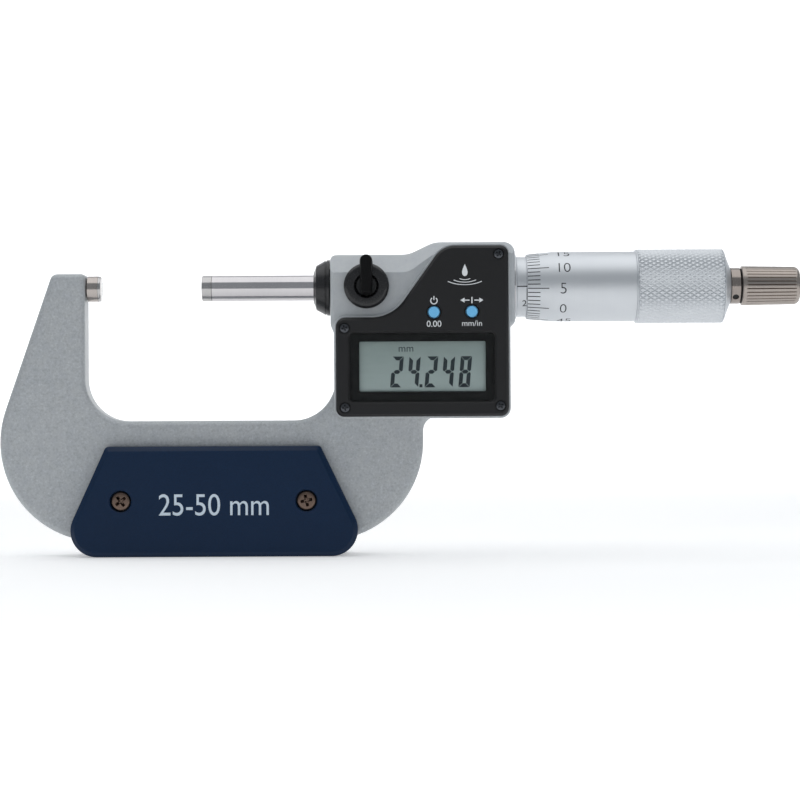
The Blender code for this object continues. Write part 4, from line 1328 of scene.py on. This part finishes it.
# ---------------------------------------------------------------- carried-over CAD pieces
def dress_cad_nodes():
    """Gives every CAD node that still shows, most of them inside the head, its real surface."""
    slots = {row["node"]: row["material_slot"] for row in frame["record"]["subparts"]}
    for name, node in frame["nodes"].items():
        if node.hide_render:
            continue
        node.data.materials.clear()
        node.data.materials.append(SURFACE[slots[name]])


# ---------------------------------------------------------------- stage, light and camera
def build_stage():
    """A pale floor that curves up into a pale wall."""
    n = Nodes("stage_white")
    n.feed("Base Color", n.ramp(n.noise(0.01 / MM, 2.0), [(0.3, grey(0.9)), (0.7, grey(0.93))]))
    n.set(roughness=0.9, emission_color=(1.0, 1.0, 1.0, 1.0), emission_strength=0.3)
    floor_z = PLATE_BOTTOM_Z - 0.05
    front, back, radius, top = -900.0, 1150.0, 300.0, 1400.0
    left, right = -1500.0, 1650.0
    bends = 16
    line = [(front, floor_z), (back - radius, floor_z)]
    for step in range(1, bends + 1):
        angle = math.pi / 2.0 * step / bends
        line.append((back - radius + radius * math.sin(angle), floor_z + radius * (1.0 - math.cos(angle))))
    line.append((back, top))
    points = []
    faces = []
    for x in (left, right):
        points += [(x, y, z) for y, z in line]
    for step in range(len(line) - 1):
        faces.append((step, step + 1, len(line) + step + 1, len(line) + step))
    SURFACE["stage_white"] = n.material
    sweep = add_mesh("studio_sweep", points, faces, "stage_white")
    sweep.data.shade_smooth()


def area_light(name, place, aim, width, depth, radiance, spread=180.0):
    """A rectangular softbox, its brightness given as the radiance of its face."""
    lamp = bpy.data.lights.new(name, "AREA")
    lamp.shape = "RECTANGLE"
    lamp.size = width * MM
    lamp.size_y = depth * MM
    lamp.energy = radiance * math.pi * lamp.size * lamp.size_y
    lamp.spread = math.radians(spread)
    made = bpy.data.objects.new(name, lamp)
    bpy.context.scene.collection.objects.link(made)
    made.location = Vector(place) * MM
    made.rotation_euler = (Vector(aim) - Vector(place)).to_track_quat("-Z", "Y").to_euler()


def build_lights():
    world = bpy.data.worlds.new("studio")
    bpy.context.scene.world = world
    world.use_nodes = True
    sky = world.node_tree.nodes["Background"].inputs
    sky["Color"].default_value = (0.88, 0.94, 1.0, 1.0)
    sky["Strength"].default_value = 0.36
    area_light("top_softbox", (30.0, -10.0, 420.0), (30.0, -10.0, 0.0), 900.0, 580.0, 0.9)
    area_light("backdrop_light", (75.0, 800.0, 380.0), (75.0, 1150.0, 60.0), 2000.0, 160.0, 1.8, 110.0)
    area_light("far_floor_light", (75.0, 680.0, 400.0), (75.0, 680.0, -66.0), 1800.0, 420.0, 0.45, 80.0)
    area_light("floor_light", (75.0, -420.0, 420.0), (75.0, -400.0, -66.0), 1200.0, 240.0, 0.5, 60.0)


def build_camera():
    """A level lens square to the front, whose frame covers CAMERA_WIDTH at the spindle axis."""
    lens = bpy.data.cameras.new("camera")
    lens.sensor_width = SENSOR
    lens.lens = SENSOR * abs(CAMERA_PLACE[1]) / CAMERA_WIDTH
    lens.clip_start = 0.01
    lens.clip_end = 10.0
    made = bpy.data.objects.new("camera", lens)
    bpy.context.scene.collection.objects.link(made)
    made.location = Vector(CAMERA_PLACE) * MM
    made.rotation_euler = (math.radians(90.0), math.radians(CAMERA_ROLL), 0.0)
    bpy.context.scene.camera = made
    bpy.context.scene.view_settings.view_transform = "Standard"


def build_all():
    build_frame()
    build_anvil()
    build_spindle()
    build_nose()
    build_lock()
    build_sleeve()
    build_thimble()
    build_ratchet()
    build_bezel()
    build_display()
    build_buttons()
    build_screws()
    build_grip_plates()
    build_battery_cover()
    dress_cad_nodes()
    build_stage()
    build_lights()
    build_camera()


build_all()
